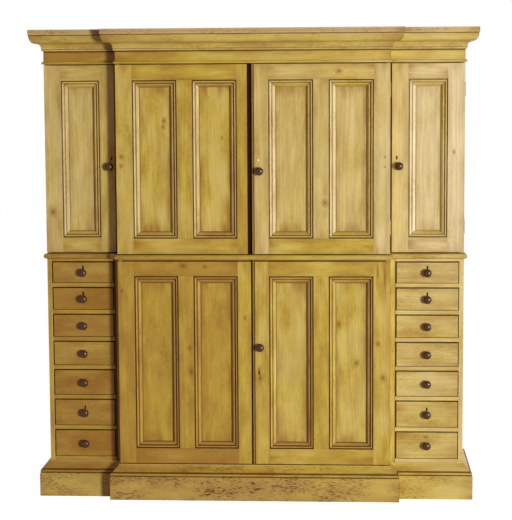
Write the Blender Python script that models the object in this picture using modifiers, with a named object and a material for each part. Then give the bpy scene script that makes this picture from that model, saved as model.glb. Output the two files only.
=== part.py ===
"""A pine breakfront cupboard in two stages, of the Victorian housekeeper's kind.

Metres, +Z up. The front faces -Y, and the origin lies on the floor under the middle of the overall box.
Every piece is modelled where it stands. A door's origin is on its hinge axis, a drawer's on its front.
"""

from math import cos, pi, radians, sin

import bmesh
import bpy
from mathutils import Matrix, Vector

# Plan of the cabinet: a middle that stands forward of two narrow wings
CARCASE_WIDTH = 2.070
CENTRE_WIDTH = 1.342
WING_DEPTH = 0.500
BREAK = 0.070
PLINTH_REACH = 0.048
WAIST_REACH = 0.015

# Heights of what stands one above the other; the base's height follows from its drawers and rails
PLINTH_TOP = 0.118
WAIST_BOARD = 0.026
UPPER_STAGE = 0.936
FRIEZE = 0.071

# Plinth moulding: a bevel, a round bead, and a splay as (inset from the board's face, rise above the board)
PLINTH_BEVEL = 0.002
PLINTH_BEAD = 0.0085
PLINTH_BEAD_INSET = 0.0105
PLINTH_BEAD_RISE = 0.0095
PLINTH_SPLAY = ((0.014, 0.024), (0.022, 0.032), (0.031, 0.041), (0.038, 0.050), (0.041, 0.056))

# Cornice, each member as (reach, height), from the frieze's bead up to the top fillet
FRIEZE_BEAD = (0.007, 0.0065)
FRIEZE_BEAD_SEAT = 0.002
CORNICE_FILLET = (0.008, 0.009)
CORNICE_STEP = (0.002, 0.004)
CORNICE_COVE = (0.020, 0.019)
CORNICE_CUSP = (0.006, 0.003)
CORNICE_OVOLO = (0.026, 0.031)
CORNICE_QUIRK = (0.003, 0.003)
CORNICE_TOP_FILLET = 0.028
CORNICE_TOP_BOARD = 0.030
CORNICE_LEDGE = 0.040
CORNICE_BACK_RISE = 0.025

# Thicknesses of the boards
SIDE_BOARD = 0.022
CENTRE_SIDE_BOARD = 0.021
WING_INNER_BOARD = 0.029
SHELF_BOARD = 0.020
BACK_BOARD = 0.010
PLINTH_BOARD = 0.022
CORNICE_FRAME = 0.045
BACK_RAIL = 0.020

# Doors: frames with sunk, moulded panels
DOOR_BOARD = 0.024
PANEL_BACK_SINK = 0.004
DOOR_RAIL = 0.078
OUTER_STILE = 0.081
MUNTIN = 0.075
MEETING_STILE = 0.077
WING_OUTER_STILE = 0.083
WING_INNER_STILE = 0.090
MEETING_X = -0.005
MEETING_TONGUE = 0.021
TONGUE_BOARD = 0.010
MEETING_BEAD = 0.009
BEAD_QUIRK = 0.0025

# Sunk moulding round a panel, each member as (inset, depth), from the quirk down to the panel
PANEL_QUIRK = (0.003, 0.002)
PANEL_QUIRK_DEPTH = 0.0025
PANEL_OVOLO = (0.012, 0.0075)
PANEL_FILLET = (0.002, 0.0005)
PANEL_COVE = (0.013, 0.003)
PANEL_EDGE = (0.001, 0.001)

# Drawers, with the heights of their openings from the top one down
DRAWER_HEIGHTS = (0.104, 0.110, 0.112, 0.119, 0.126, 0.131, 0.133)
DRAWER_RAIL = 0.025
TOP_RAIL = 0.018
BOTTOM_RAIL = 0.021
DRAWER_FRONT = 0.020
DRAWER_SIDE = 0.011
DRAWER_BOTTOM = 0.008
LOCKED_DRAWERS = (1, 2, 6)

# Shelves: fixed ones in the upper wings, loose ones in the middle at these rises above the floor boards
WING_SHELVES = 2
SHELF_SETBACK = 0.030
SHELF_HOUSING = 0.008
UPPER_SHELF_RISES = (0.284, 0.584)
LOWER_SHELF_RISE = 0.495

# Turned knobs with a spigot, and keyholes; insets are from a door's free edge, rises from a door's foot
KNOB_RADIUS = 0.0205
KNOB_LENGTH = 0.034
KNOB_WIDEST = 0.0215
KNOB_NECK = ((0.0115, 0.0125), (0.0095, 0.0080), (0.0125, 0.0035))
KNOB_FLANGE = (0.0140, 0.0020)
SPIGOT_RADIUS = 0.006
SPIGOT_LENGTH = 0.013
KNOB_SIDES = 12
KEYHOLE_RADIUS = 0.0036
KEYHOLE_SLOT = 0.012
KEYHOLE_FOOT = 0.0027
KEYHOLE_DEPTH = 0.009
DRAWER_KEY_RISE = 0.030
WING_KNOB_INSET = 0.041
WING_KEY_INSET = 0.030
WING_KNOB_RISE = 0.429
WING_KEY_RISE = 0.045
CENTRE_KNOB_INSET = 0.037
CENTRE_KEY_INSET = 0.031
UPPER_KNOB_RISE = 0.409
UPPER_KEY_RISE = 0.053
LOWER_KNOB_RISE = 0.589
LOWER_KEY_RISE = -0.124

# Butt hinges, the pin on the corner between a door's back and its carcase's edge
PIN_RADIUS = 0.004
PIN_SIDES = 12
HINGE_HEIGHT = 0.070
HINGE_LEAF = 0.018
LEAF_THICKNESS = 0.002
HINGE_FROM_END = 0.130

# Clearances
FIT = 0.0003
HINGE_GAP = 0.001
PIN_CLEARANCE = 0.0005
DOOR_GAP = 0.002
WING_DOOR_GAP = 0.003
DRAWER_GAP = 0.002
DRAWER_SIDE_GAP = 0.001
DRAWER_BACK_GAP = 0.039
SHELF_GAP = 0.0005
RAIL_GAP = 0.001
OVERCUT = 0.020

# Points closer than this are one point, and faces within this angle are one flat face
WELD = 0.000001
FLAT = radians(0.5)

# Places that follow from the sizes above
CORNICE_MEMBERS = (CORNICE_FILLET, CORNICE_STEP, CORNICE_COVE, CORNICE_CUSP, CORNICE_OVOLO, CORNICE_QUIRK)
CORNICE_REACH = sum(reach for reach, rise in CORNICE_MEMBERS)
CORNICE_HEIGHT = sum(rise for reach, rise in CORNICE_MEMBERS) + CORNICE_TOP_FILLET
DRAWER_BANK = sum(DRAWER_HEIGHTS) + DRAWER_RAIL * (len(DRAWER_HEIGHTS) - 1)
PLINTH_MOULDING_TOP = PLINTH_TOP + PLINTH_SPLAY[-1][1]
LOWER_FLOOR = PLINTH_MOULDING_TOP + BOTTOM_RAIL
LOWER_HEAD = LOWER_FLOOR + DRAWER_BANK
WAIST_BOTTOM = LOWER_HEAD + TOP_RAIL
WAIST_TOP = WAIST_BOTTOM + WAIST_BOARD
FRIEZE_BOTTOM = WAIST_TOP + UPPER_STAGE
CORNICE_BOTTOM = FRIEZE_BOTTOM + FRIEZE
TOTAL_HEIGHT = CORNICE_BOTTOM + CORNICE_HEIGHT
BACK_Y = (CORNICE_REACH + BREAK + WING_DEPTH) / 2
WING_Y = BACK_Y - WING_DEPTH
CENTRE_Y = WING_Y - BREAK
SIDE_X = CARCASE_WIDTH / 2
CENTRE_X = CENTRE_WIDTH / 2
WING_SPACE = (CENTRE_X + WING_INNER_BOARD, SIDE_X - SIDE_BOARD)
CENTRE_SPACE = CENTRE_X - CENTRE_SIDE_BOARD
UPPER_FLOOR = WAIST_TOP + SIDE_BOARD
UPPER_HEAD = FRIEZE_BOTTOM - SIDE_BOARD
CARCASE_SETBACK = DOOR_BOARD + HINGE_GAP
PIN_SETBACK = DOOR_BOARD + HINGE_GAP / 2
UPPER_DOOR = (WAIST_TOP + DOOR_GAP, FRIEZE_BOTTOM - DOOR_GAP)
LOWER_DOOR = (PLINTH_MOULDING_TOP + DOOR_GAP, WAIST_BOTTOM - DOOR_GAP)
LOWER_BACK = (LOWER_FLOOR - BACK_BOARD, WAIST_BOTTOM - BACK_BOARD)
UPPER_BACK = (WAIST_TOP + BACK_BOARD, FRIEZE_BOTTOM - BACK_BOARD)
UPPER_SHELVES = [UPPER_FLOOR + rise for rise in UPPER_SHELF_RISES]
LOWER_SHELVES = [LOWER_FLOOR + LOWER_SHELF_RISE]


def collection(name):
    """Adds a collection to the scene."""
    group = bpy.data.collections.new(name)
    bpy.context.scene.collection.children.link(group)
    return group


def material(name, colour, roughness, metallic=0.0):
    """A plain Principled material."""
    made = bpy.data.materials.new(name)
    made.use_nodes = True
    shader = made.node_tree.nodes["Principled BSDF"]
    shader.inputs["Base Color"].default_value = (*colour, 1.0)
    shader.inputs["Roughness"].default_value = roughness
    shader.inputs["Metallic"].default_value = metallic
    return made


def add_object(name, data, group):
    """Links a new object into a collection."""
    thing = bpy.data.objects.new(name, data)
    group.objects.link(thing)
    if group is cutters:
        thing.hide_render = True
        thing.display_type = "WIRE"
    return thing


def from_bmesh(name, shape, group):
    """Makes an object of a finished bmesh, its faces pointing out."""
    bmesh.ops.recalc_face_normals(shape, faces=shape.faces)
    mesh = bpy.data.meshes.new(name)
    shape.to_mesh(mesh)
    shape.free()
    return add_object(name, mesh, group)


def boxes(name, corners, group):
    """One object of separate boxes, each given by its two opposite corners."""
    shape = bmesh.new()
    for first, second in corners:
        first = Vector(first)
        second = Vector(second)
        size = second - first
        scale = Matrix.Diagonal((abs(size.x), abs(size.y), abs(size.z), 1.0))
        bmesh.ops.create_cube(shape, size=1.0, matrix=Matrix.Translation((first + second) / 2) @ scale)
    return from_bmesh(name, shape, group)


def flat_curve(name, points, closed):
    """A 2D curve of straight runs through points in plan."""
    curve = bpy.data.curves.new(name, "CURVE")
    curve.dimensions = "2D"
    spline = curve.splines.new("POLY")
    spline.points.add(len(points) - 1)
    for point, (x, y) in zip(spline.points, points):
        point.co = (x, y, 0.0, 1.0)
    spline.use_cyclic_u = closed
    return add_object(name, curve, cutters)


def curve_to_mesh(name, curve, group):
    """Turns a curve object into a welded mesh object in the same place and removes the curve."""
    bpy.context.view_layer.update()
    graph = bpy.context.evaluated_depsgraph_get()
    mesh = bpy.data.meshes.new_from_object(curve.evaluated_get(graph))
    shape = bmesh.new()
    shape.from_mesh(mesh)
    bmesh.ops.remove_doubles(shape, verts=shape.verts, dist=WELD)
    bmesh.ops.dissolve_limit(shape, angle_limit=FLAT, verts=shape.verts, edges=shape.edges)
    shape.transform(curve.matrix_world)
    bpy.data.objects.remove(curve)
    bpy.data.meshes.remove(mesh)
    return from_bmesh(name, shape, group)


def slab(name, points, bottom, top, group):
    """A flat outline in plan between two heights."""
    curve = flat_curve(name + " outline", points, True)
    curve.data.fill_mode = "BOTH"
    curve.data.extrude = (top - bottom) / 2
    curve.location.z = (top + bottom) / 2
    return curve_to_mesh(name, curve, group)


def upright_slab(name, points, front, depth, group):
    """A flat outline seen from the front, sunk from one Y to the next."""
    curve = flat_curve(name + " outline", points, True)
    curve.data.fill_mode = "BOTH"
    curve.data.extrude = depth / 2
    curve.rotation_euler.x = pi / 2
    curve.location.y = front + depth / 2
    return curve_to_mesh(name, curve, group)


def moulding(name, path, profile, group):
    """A profile of (reach, height) points carried along a path in plan, with mitred corners."""
    section = flat_curve(name + " section", profile, True)
    curve = flat_curve(name + " path", path, False)
    curve.data.bevel_mode = "OBJECT"
    curve.data.bevel_object = section
    curve.data.use_fill_caps = True
    made = curve_to_mesh(name, curve, group)
    bpy.data.objects.remove(section)
    return made


def boolean(target, tool, operation):
    """Adds a Boolean with a hidden tool to a piece."""
    step = target.modifiers.new(tool.name, "BOOLEAN")
    step.operation = operation
    step.object = tool


def cut(target, tool):
    """Takes a tool's shape out of a piece."""
    boolean(target, tool, "DIFFERENCE")


def weld_on(target, tool):
    """Joins a tool's shape to a piece."""
    boolean(target, tool, "UNION")


def set_origin(piece, place):
    """Moves a piece's origin to a place in the world and leaves its shape where it is."""
    piece.data.transform(Matrix.Translation(-Vector(place)))
    piece.location = place


def plan(outset=0.0):
    """Corners of the breakfront plan, from the left back round the front to the right back."""
    side = SIDE_X + outset
    middle = CENTRE_X + outset
    wing = WING_Y - outset
    centre = CENTRE_Y - outset
    half = [(middle, centre), (middle, wing), (side, wing), (side, BACK_Y)]
    return [(-x, y) for x, y in reversed(half)] + half


def arc(centre, radii, start, end, steps):
    """Points along part of an ellipse, with angles in degrees."""
    angles = [radians(start + (end - start) * step / steps) for step in range(steps + 1)]
    return [(centre[0] + radii[0] * cos(angle), centre[1] + radii[1] * sin(angle)) for angle in angles]


def finish(piece, look):
    """Gives a piece its material."""
    piece.data.materials.append(look)
    return piece


def make_plinth():
    """Plinth: a frame of boards with a splayed moulding, a ledge for the carcase and a back rail."""
    bead_middle = (PLINTH_REACH - PLINTH_BEAD_INSET, PLINTH_TOP + PLINTH_BEAD_RISE)
    bead = arc(bead_middle, (PLINTH_BEAD, PLINTH_BEAD), -70, 80, 5)
    splay = [(PLINTH_REACH - inset, PLINTH_TOP + rise) for inset, rise in PLINTH_SPLAY]
    ledge = PLINTH_TOP - PLINTH_BOARD
    inside = [
        (FIT, PLINTH_MOULDING_TOP),
        (FIT, PLINTH_TOP),
        (-SIDE_BOARD, PLINTH_TOP),
        (-SIDE_BOARD, ledge),
        (PLINTH_REACH - PLINTH_BOARD, ledge),
        (PLINTH_REACH - PLINTH_BOARD, 0.0),
    ]
    board = [
        (PLINTH_REACH, 0.0),
        (PLINTH_REACH, PLINTH_TOP - PLINTH_BEVEL / 2),
        (PLINTH_REACH - PLINTH_BEVEL, PLINTH_TOP + PLINTH_BEVEL / 2),
    ]
    plinth = moulding("plinth", plan(), board + bead + splay + inside, parts)
    reach = SIDE_X + PLINTH_REACH - PLINTH_BOARD / 2
    low = (-reach, BACK_Y - BACK_RAIL, RAIL_GAP)
    high = (reach, BACK_Y - RAIL_GAP, PLINTH_TOP - RAIL_GAP)
    rail = boxes("plinth back rail", [(low, high)], cutters)
    weld_on(plinth, rail)
    return finish(plinth, pine)


def drawer_spaces():
    """Heights of the seven drawer openings, from the top one down, as (bottom, top)."""
    spaces = []
    top = LOWER_HEAD
    for height in DRAWER_HEIGHTS:
        bottom = top - height
        spaces.append((bottom, top))
        top = bottom - DRAWER_RAIL
    return spaces


def hinge_heights(door):
    """Middle heights of a door's two hinges."""
    return (door[0] + HINGE_FROM_END, door[1] - HINGE_FROM_END)


def hinge_pockets(name, places, carcase):
    """Cuts the leaves' and pins' places into a carcase's front edge; a place is (x, inward, pin y, z)."""
    leaves = []
    pins = []
    for x, inward, y, z in places:
        half = HINGE_HEIGHT / 2 + FIT
        outside = x - inward * OVERCUT
        leaf_end = x + inward * (HINGE_LEAF + FIT)
        leaf_back = y + HINGE_GAP / 2 + LEAF_THICKNESS + FIT
        pin = PIN_RADIUS + PIN_CLEARANCE
        leaves.append(((outside, y - OVERCUT, z - half), (leaf_end, leaf_back, z + half)))
        tall = half + PIN_CLEARANCE
        pins.append(((outside, y - OVERCUT, z - tall), (x + inward * pin, y + pin, z + tall)))
    cut(carcase, boxes(name + " leaf places", leaves, cutters))
    cut(carcase, boxes(name + " pin places", pins, cutters))


def shelf_grooves(heights):
    """Boxes that house the middle's shelves in the boards at either side, open at the back."""
    half = CENTRE_SPACE + SHELF_HOUSING
    front = CENTRE_Y + CARCASE_SETBACK + SHELF_SETBACK
    return [
        ((-half, front, z - FIT), (half, BACK_Y + OVERCUT, z + SHELF_BOARD + FIT)) for z in heights
    ]


def make_lower_carcase():
    """Base: sides, partitions, floor, top and the dust boards between the drawers, as one joined case."""
    fronts = (WING_Y, CENTRE_Y)
    heights = (PLINTH_TOP + FIT, WAIST_BOTTOM - FIT)
    case = breakfront_block("lower_carcase", fronts, 0.0, heights, parts)
    front = CENTRE_Y - OVERCUT
    back = BACK_Y + OVERCUT
    spaces = [((-CENTRE_SPACE, front, LOWER_FLOOR), (CENTRE_SPACE, back, LOWER_HEAD))]
    for side in (-1, 1):
        for bottom, top in drawer_spaces():
            spaces.append(((side * WING_SPACE[0], front, bottom), (side * WING_SPACE[1], back, top)))
    door_low = (-SIDE_X, front, PLINTH_MOULDING_TOP)
    door_high = (SIDE_X, CENTRE_Y + CARCASE_SETBACK, WAIST_BOTTOM + OVERCUT)
    door_place = boxes("lower door place", [(door_low, door_high)], cutters)
    under_heights = (PLINTH_TOP - OVERCUT, LOWER_FLOOR - SIDE_BOARD)
    under = breakfront_block("lower under space", fronts, SIDE_BOARD, under_heights, cutters)
    rebate = boxes("lower rebate", [back_place(LOWER_BACK, FIT, OVERCUT)], cutters)
    cut(case, door_place)
    cut(case, boxes("lower spaces", spaces, cutters))
    cut(case, under)
    cut(case, rebate)
    cut(case, boxes("lower shelf grooves", shelf_grooves(LOWER_SHELVES), cutters))
    pin_y = CENTRE_Y + PIN_SETBACK
    places = [(side * CENTRE_X, -side, pin_y, z) for side in (-1, 1) for z in hinge_heights(LOWER_DOOR)]
    hinge_pockets("lower", places, case)
    return finish(case, inside_pine)


def breakfront_block(name, fronts, inset, heights, group):
    """A block with the breakfront's plan: the middle's box, joined to a wide box that makes the wings."""
    low, high = heights
    wing_front, centre_front = fronts
    side = SIDE_X - inset
    middle = CENTRE_X - inset
    back = BACK_Y - inset
    block = boxes(name, [((-side, wing_front + inset, low), (side, back, high))], group)
    centre = ((-middle, centre_front + inset, low), (middle, wing_front + 2 * SIDE_BOARD, high))
    weld_on(block, boxes(name + " middle", [centre], cutters))
    return block


def back_place(heights, margin, behind):
    """Opposite corners of the space for a back, with a margin round it and more room behind."""
    half = SIDE_X - SIDE_BOARD / 2 + margin
    low = (-half, BACK_Y - BACK_BOARD - margin, heights[0] - margin)
    return (low, (half, BACK_Y + behind, heights[1] + margin))


def make_back(name, heights):
    """A back of boards joined edge to edge, in a rebate behind a carcase."""
    return finish(boxes(name, [back_place(heights, 0.0, 0.0)], parts), inside_pine)


def make_waist():
    """Top board of the base, with a round nose that runs along the front and the sides."""
    middle = (WAIST_BOTTOM + WAIST_TOP) / 2
    half = (WAIST_TOP - WAIST_BOTTOM) / 2
    nose = arc((WAIST_REACH - half, middle), (half, half), -90, 90, 6)
    lap = -2 * SIDE_BOARD
    waist = moulding("waist_top", plan(), nose + [(lap, WAIST_TOP), (lap, WAIST_BOTTOM)], parts)
    weld_on(waist, slab("waist board", plan(-SIDE_BOARD), WAIST_BOTTOM, WAIST_TOP, cutters))
    return finish(waist, pine)


def make_upper_carcase():
    """Upper stage: sides, partitions, floor, top and the wings' fixed shelves, as one joined case."""
    fronts = (WING_Y + CARCASE_SETBACK, CENTRE_Y + CARCASE_SETBACK)
    heights = (WAIST_TOP + FIT, FRIEZE_BOTTOM - FIT)
    case = breakfront_block("upper_carcase", fronts, 0.0, heights, parts)
    front = CENTRE_Y - OVERCUT
    back = BACK_Y + OVERCUT
    spaces = [((-CENTRE_SPACE, front, UPPER_FLOOR), (CENTRE_SPACE, back, UPPER_HEAD))]
    for side in (-1, 1):
        for bottom, top in wing_spaces():
            spaces.append(((side * WING_SPACE[0], front, bottom), (side * WING_SPACE[1], back, top)))
    cut(case, boxes("upper spaces", spaces, cutters))
    cut(case, boxes("upper rebate", [back_place(UPPER_BACK, FIT, OVERCUT)], cutters))
    cut(case, boxes("upper shelf grooves", shelf_grooves(UPPER_SHELVES), cutters))
    centre_pin = CENTRE_Y + PIN_SETBACK
    wing_pin = WING_Y + PIN_SETBACK
    places = []
    for side in (-1, 1):
        for z in hinge_heights(UPPER_DOOR):
            places.append((side * CENTRE_X, -side, centre_pin, z))
            places.append((side * SIDE_X, -side, wing_pin, z))
    hinge_pockets("upper", places, case)
    return finish(case, inside_pine)


def wing_spaces():
    """Heights of the spaces between an upper wing's fixed shelves, as (bottom, top)."""
    tall = (UPPER_HEAD - UPPER_FLOOR - WING_SHELVES * SHELF_BOARD) / (WING_SHELVES + 1)
    floors = [UPPER_FLOOR + level * (tall + SHELF_BOARD) for level in range(WING_SHELVES + 1)]
    return [(floor, floor + tall) for floor in floors]


def make_shelf(name, height):
    """A board in the middle section that rests in housings at either end."""
    half = CENTRE_SPACE + SHELF_HOUSING - SHELF_GAP
    front = CENTRE_Y + CARCASE_SETBACK + SHELF_SETBACK + SHELF_GAP
    back = BACK_Y - BACK_BOARD - SHELF_GAP
    shelf = boxes(name, [((-half, front, height), (half, back, height + SHELF_BOARD))], parts)
    return finish(shelf, inside_pine)


def make_cornice():
    """Cornice: a frieze with a bead below it and an ovolo over a cove above, open at the top."""
    bead_middle = FRIEZE_BOTTOM + FRIEZE_BEAD[1]
    bead = arc((FRIEZE_BEAD_SEAT, bead_middle), FRIEZE_BEAD, -90, 90, 4)
    fillet = CORNICE_FILLET[0]
    fillet_top = CORNICE_BOTTOM + CORNICE_FILLET[1]
    cove_reach = fillet + CORNICE_STEP[0]
    cove_foot = fillet_top + CORNICE_STEP[1]
    cove = arc((cove_reach + CORNICE_COVE[0], cove_foot), CORNICE_COVE, 180, 90, 4)
    ovolo_reach = cove_reach + CORNICE_COVE[0] + CORNICE_CUSP[0]
    ovolo_head = cove_foot + CORNICE_COVE[1] + CORNICE_CUSP[1] + CORNICE_OVOLO[1]
    ovolo = arc((ovolo_reach, ovolo_head), CORNICE_OVOLO, -90, 0, 5)
    outer = (
        [(0.0, FRIEZE_BOTTOM)]
        + bead
        + [(0.0, bead_middle + FRIEZE_BEAD[1]), (0.0, CORNICE_BOTTOM), (fillet, CORNICE_BOTTOM)]
        + [(fillet, fillet_top), (cove_reach, fillet_top)]
        + cove
        + ovolo
        + [(CORNICE_REACH, TOTAL_HEIGHT - CORNICE_TOP_FILLET), (CORNICE_REACH, TOTAL_HEIGHT)]
    )
    ledge = FRIEZE_BOTTOM + CORNICE_LEDGE
    inner = [
        (CORNICE_REACH - CORNICE_TOP_BOARD, TOTAL_HEIGHT),
        (-SIDE_BOARD, CORNICE_BOTTOM + CORNICE_BACK_RISE),
        (-SIDE_BOARD, ledge),
        (-CORNICE_FRAME, ledge),
        (-CORNICE_FRAME, FRIEZE_BOTTOM),
    ]
    cornice = moulding("cornice", plan(), outer + inner, parts)
    reach = SIDE_X - SIDE_BOARD / 2
    low = (-reach, BACK_Y - BACK_RAIL, FRIEZE_BOTTOM)
    high = (reach, BACK_Y - RAIL_GAP, CORNICE_BOTTOM)
    rail = boxes("cornice back rail", [(low, high)], cutters)
    weld_on(cornice, rail)
    return finish(cornice, pine)


def panel_steps():
    """The sunk moulding round a panel as (inset, depth): a quirk, an ovolo, a step and a cove."""
    inset, depth = PANEL_QUIRK
    ovolo = arc((inset, depth + PANEL_OVOLO[1]), PANEL_OVOLO, -90, 0, 3)
    inset = inset + PANEL_OVOLO[0] + PANEL_FILLET[0]
    depth = depth + PANEL_OVOLO[1] + PANEL_FILLET[1]
    cove = arc((inset + PANEL_COVE[0], depth), PANEL_COVE, 180, 90, 2)
    panel = (inset + PANEL_COVE[0] + PANEL_EDGE[0], depth + PANEL_COVE[1] + PANEL_EDGE[1])
    return [(0.0, PANEL_QUIRK_DEPTH)] + ovolo + cove + [panel]


def panel_sinks(name, openings, heights, front):
    """A cutter for the sunk panels: a box for each opening, its back pushed in and drawn smaller by steps."""
    shape = bmesh.new()
    low, high = heights
    for left, right in openings:
        middle = Vector(((left + right) / 2, front - OVERCUT / 2, (low + high) / 2))
        half = Vector(((right - left) / 2, OVERCUT / 2, (high - low) / 2))
        place = Matrix.Translation(middle) @ Matrix.Diagonal((half.x, half.y, half.z, 1.0))
        made = bmesh.ops.create_cube(shape, size=2.0, matrix=place)
        sides = {face for vert in made["verts"] for face in vert.link_faces}
        face = max(sides, key=lambda side: side.calc_center_median().y)
        for inset, depth in panel_steps():
            face = bmesh.ops.extrude_discrete_faces(shape, faces=[face])["faces"][0]
            for vert in face.verts:
                across = 1 if vert.co.x > middle.x else -1
                rise = 1 if vert.co.z > middle.z else -1
                vert.co.x = middle.x + across * (half.x - inset)
                vert.co.y = front + depth
                vert.co.z = middle.z + rise * (half.z - inset)
    return from_bmesh(name, shape, cutters)


def keyhole(name, x, z, front):
    """A cutter of a keyhole: a round top over a tapered slot."""
    top = arc((x, z), (KEYHOLE_RADIUS, KEYHOLE_RADIUS), -50, 230, 8)
    slot = [(x - KEYHOLE_FOOT, z - KEYHOLE_SLOT), (x + KEYHOLE_FOOT, z - KEYHOLE_SLOT)]
    return upright_slab(name, top + slot, front - OVERCUT, OVERCUT + KEYHOLE_DEPTH, cutters)


def knob_hole(name, x, z, front):
    """A cutter of the blind hole for a knob's spigot."""
    shape = bmesh.new()
    depth = OVERCUT + SPIGOT_LENGTH + FIT
    place = Matrix.Translation((x, front - OVERCUT + depth / 2, z)) @ Matrix.Rotation(pi / 2, 4, "X")
    bmesh.ops.create_cone(
        shape,
        cap_ends=True,
        segments=KNOB_SIDES,
        radius1=SPIGOT_RADIUS + FIT,
        radius2=SPIGOT_RADIUS + FIT,
        depth=depth,
        matrix=place,
    )
    return from_bmesh(name, shape, cutters)


def make_knob(name, holder, x, z, front):
    """A turned knob: a flange, a neck, a mushroom head, and a spigot in its holder's hole."""
    head = arc((0.0, KNOB_WIDEST), (KNOB_RADIUS, KNOB_LENGTH - KNOB_WIDEST), 90, -25, 6)
    outline = head + list(KNOB_NECK) + [
        KNOB_FLANGE,
        (KNOB_FLANGE[0], FIT),
        (SPIGOT_RADIUS, FIT),
        (SPIGOT_RADIUS, -SPIGOT_LENGTH),
        (0.0, -SPIGOT_LENGTH),
    ]
    shape = bmesh.new()
    points = [shape.verts.new((radius, 0.0, height)) for radius, height in outline]
    for first, second in zip(points, points[1:]):
        shape.edges.new((first, second))
    mesh = bpy.data.meshes.new(name)
    shape.to_mesh(mesh)
    shape.free()
    knob = add_object(name, mesh, parts)
    turn = knob.modifiers.new("turning", "SCREW")
    turn.steps = KNOB_SIDES
    turn.render_steps = KNOB_SIDES
    turn.use_merge_vertices = True
    turn.merge_threshold = 0.00001
    turn.use_smooth_shade = True
    knob.parent = holder
    knob.location = Vector((x, front, z)) - holder.location
    knob.rotation_euler.x = pi / 2
    return finish(knob, knob_wood)


def make_hinge(name, x, inward, pin_y, z):
    """A butt hinge's pin with its fixed leaf, let into a carcase's front edge."""
    shape = bmesh.new()
    bmesh.ops.create_cone(
        shape,
        cap_ends=True,
        segments=PIN_SIDES,
        radius1=PIN_RADIUS,
        radius2=PIN_RADIUS,
        depth=HINGE_HEIGHT,
        matrix=Matrix.Translation((x, pin_y, z)),
    )
    hinge = from_bmesh(name, shape, parts)
    half = HINGE_HEIGHT / 2
    leaf_back = pin_y + HINGE_GAP / 2 + LEAF_THICKNESS
    leaf = boxes(
        name + " leaf",
        [((x, pin_y, z - half + FIT), (x + inward * HINGE_LEAF, leaf_back, z + half - FIT))],
        cutters,
    )
    weld_on(hinge, leaf)
    return finish(hinge, brass)


def make_door(name, hinge_x, free_x, front, heights, openings):
    """A framed door laid over its carcase's edge, with sunk panels, and its two hinges."""
    low, high = heights
    back = front + DOOR_BOARD
    pin_y = front + PIN_SETBACK
    door = boxes(name, [((hinge_x, front, low), (free_x, back, high))], parts)
    set_origin(door, (hinge_x, pin_y, low))
    sill = low + DOOR_RAIL
    head = high - DOOR_RAIL
    cut(door, panel_sinks(name + " panels", openings, (sill, head), front))
    sunk = [((left, back - PANEL_BACK_SINK, sill), (right, back + OVERCUT, head)) for left, right in openings]
    cut(door, boxes(name + " panel backs", sunk, cutters))
    inward = 1 if free_x > hinge_x else -1
    outside = hinge_x - inward * OVERCUT
    pin = PIN_RADIUS + PIN_CLEARANCE
    half = HINGE_HEIGHT / 2 + FIT
    pins = []
    for number, z in enumerate(hinge_heights(heights), 1):
        make_hinge(name.replace("door", "hinge") + f"_{number}", hinge_x, inward, pin_y, z)
        pins.append(((outside, pin_y - pin, z - half), (hinge_x + inward * pin, back + OVERCUT, z + half)))
    cut(door, boxes(name + " pin places", pins, cutters))
    return finish(door, pine)


def fit_lock(door, name, knob_place, key_place, front):
    """Gives a door its knob and a keyhole, each at a place (x, z) on its front."""
    cut(door, knob_hole(door.name + " knob hole", *knob_place, front))
    cut(door, keyhole(door.name + " keyhole", *key_place, front))
    make_knob(name, door, *knob_place, front)


def make_wing_doors():
    """The two single-panel doors of the upper wings, hung on their outer edges."""
    for side, word in ((-1, "left"), (1, "right")):
        outer = side * (SIDE_X - WING_OUTER_STILE)
        inner = side * (CENTRE_X + WING_INNER_STILE)
        free = side * (CENTRE_X + WING_DOOR_GAP)
        opening = (min(outer, inner), max(outer, inner))
        door = make_door(f"door_wing_{word}", side * SIDE_X, free, WING_Y, UPPER_DOOR, [opening])
        knob_z = UPPER_DOOR[0] + WING_KNOB_RISE
        knob_place = (free + side * WING_KNOB_INSET, knob_z)
        key_place = (free + side * WING_KEY_INSET, knob_z + WING_KEY_RISE)
        fit_lock(door, f"knob_wing_{word}", knob_place, key_place, WING_Y)


def make_centre_doors(stage, heights, knob_rise, key_rise):
    """A pair of two-panel doors; the right one has a bead, a knob and a keyhole at its meeting edge."""
    outer = CENTRE_X - OUTER_STILE
    wide = (outer - MUNTIN - MEETING_STILE) / 2
    panels = [(MEETING_STILE, MEETING_STILE + wide), (outer - wide, outer)]
    left_panels = [(-right, -left) for left, right in panels]
    left_edge = MEETING_X - DOOR_GAP / 2
    right_edge = MEETING_X + DOOR_GAP / 2
    left = make_door(f"door_{stage}_left", -CENTRE_X, left_edge, CENTRE_Y, heights, left_panels)
    right = make_door(f"door_{stage}_right", CENTRE_X, right_edge, CENTRE_Y, heights, panels)
    quirk = right_edge + MEETING_BEAD
    low = (quirk, CENTRE_Y - OVERCUT, heights[0] - OVERCUT)
    high = (quirk + BEAD_QUIRK, CENTRE_Y + BEAD_QUIRK, heights[1] + OVERCUT)
    cut(right, boxes(f"{stage} bead quirk", [(low, high)], cutters))
    knob_place = (right_edge + CENTRE_KNOB_INSET, heights[0] + knob_rise)
    key_place = (right_edge + CENTRE_KEY_INSET, heights[0] + knob_rise + key_rise)
    fit_lock(right, f"knob_{stage}", knob_place, key_place, CENTRE_Y)
    return left


def make_meeting_tongue(door):
    """Sets back the upper left door's meeting edge, which leaves the dark band beside the right door."""
    low, high = UPPER_DOOR
    edge = MEETING_X - DOOR_GAP / 2
    sunk = CENTRE_Y + DOOR_BOARD - TONGUE_BOARD
    near = (edge - MEETING_TONGUE, CENTRE_Y - OVERCUT, low - OVERCUT)
    far = (edge + OVERCUT, sunk, high + OVERCUT)
    cut(door, boxes("upper meeting band", [(near, far)], cutters))


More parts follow.
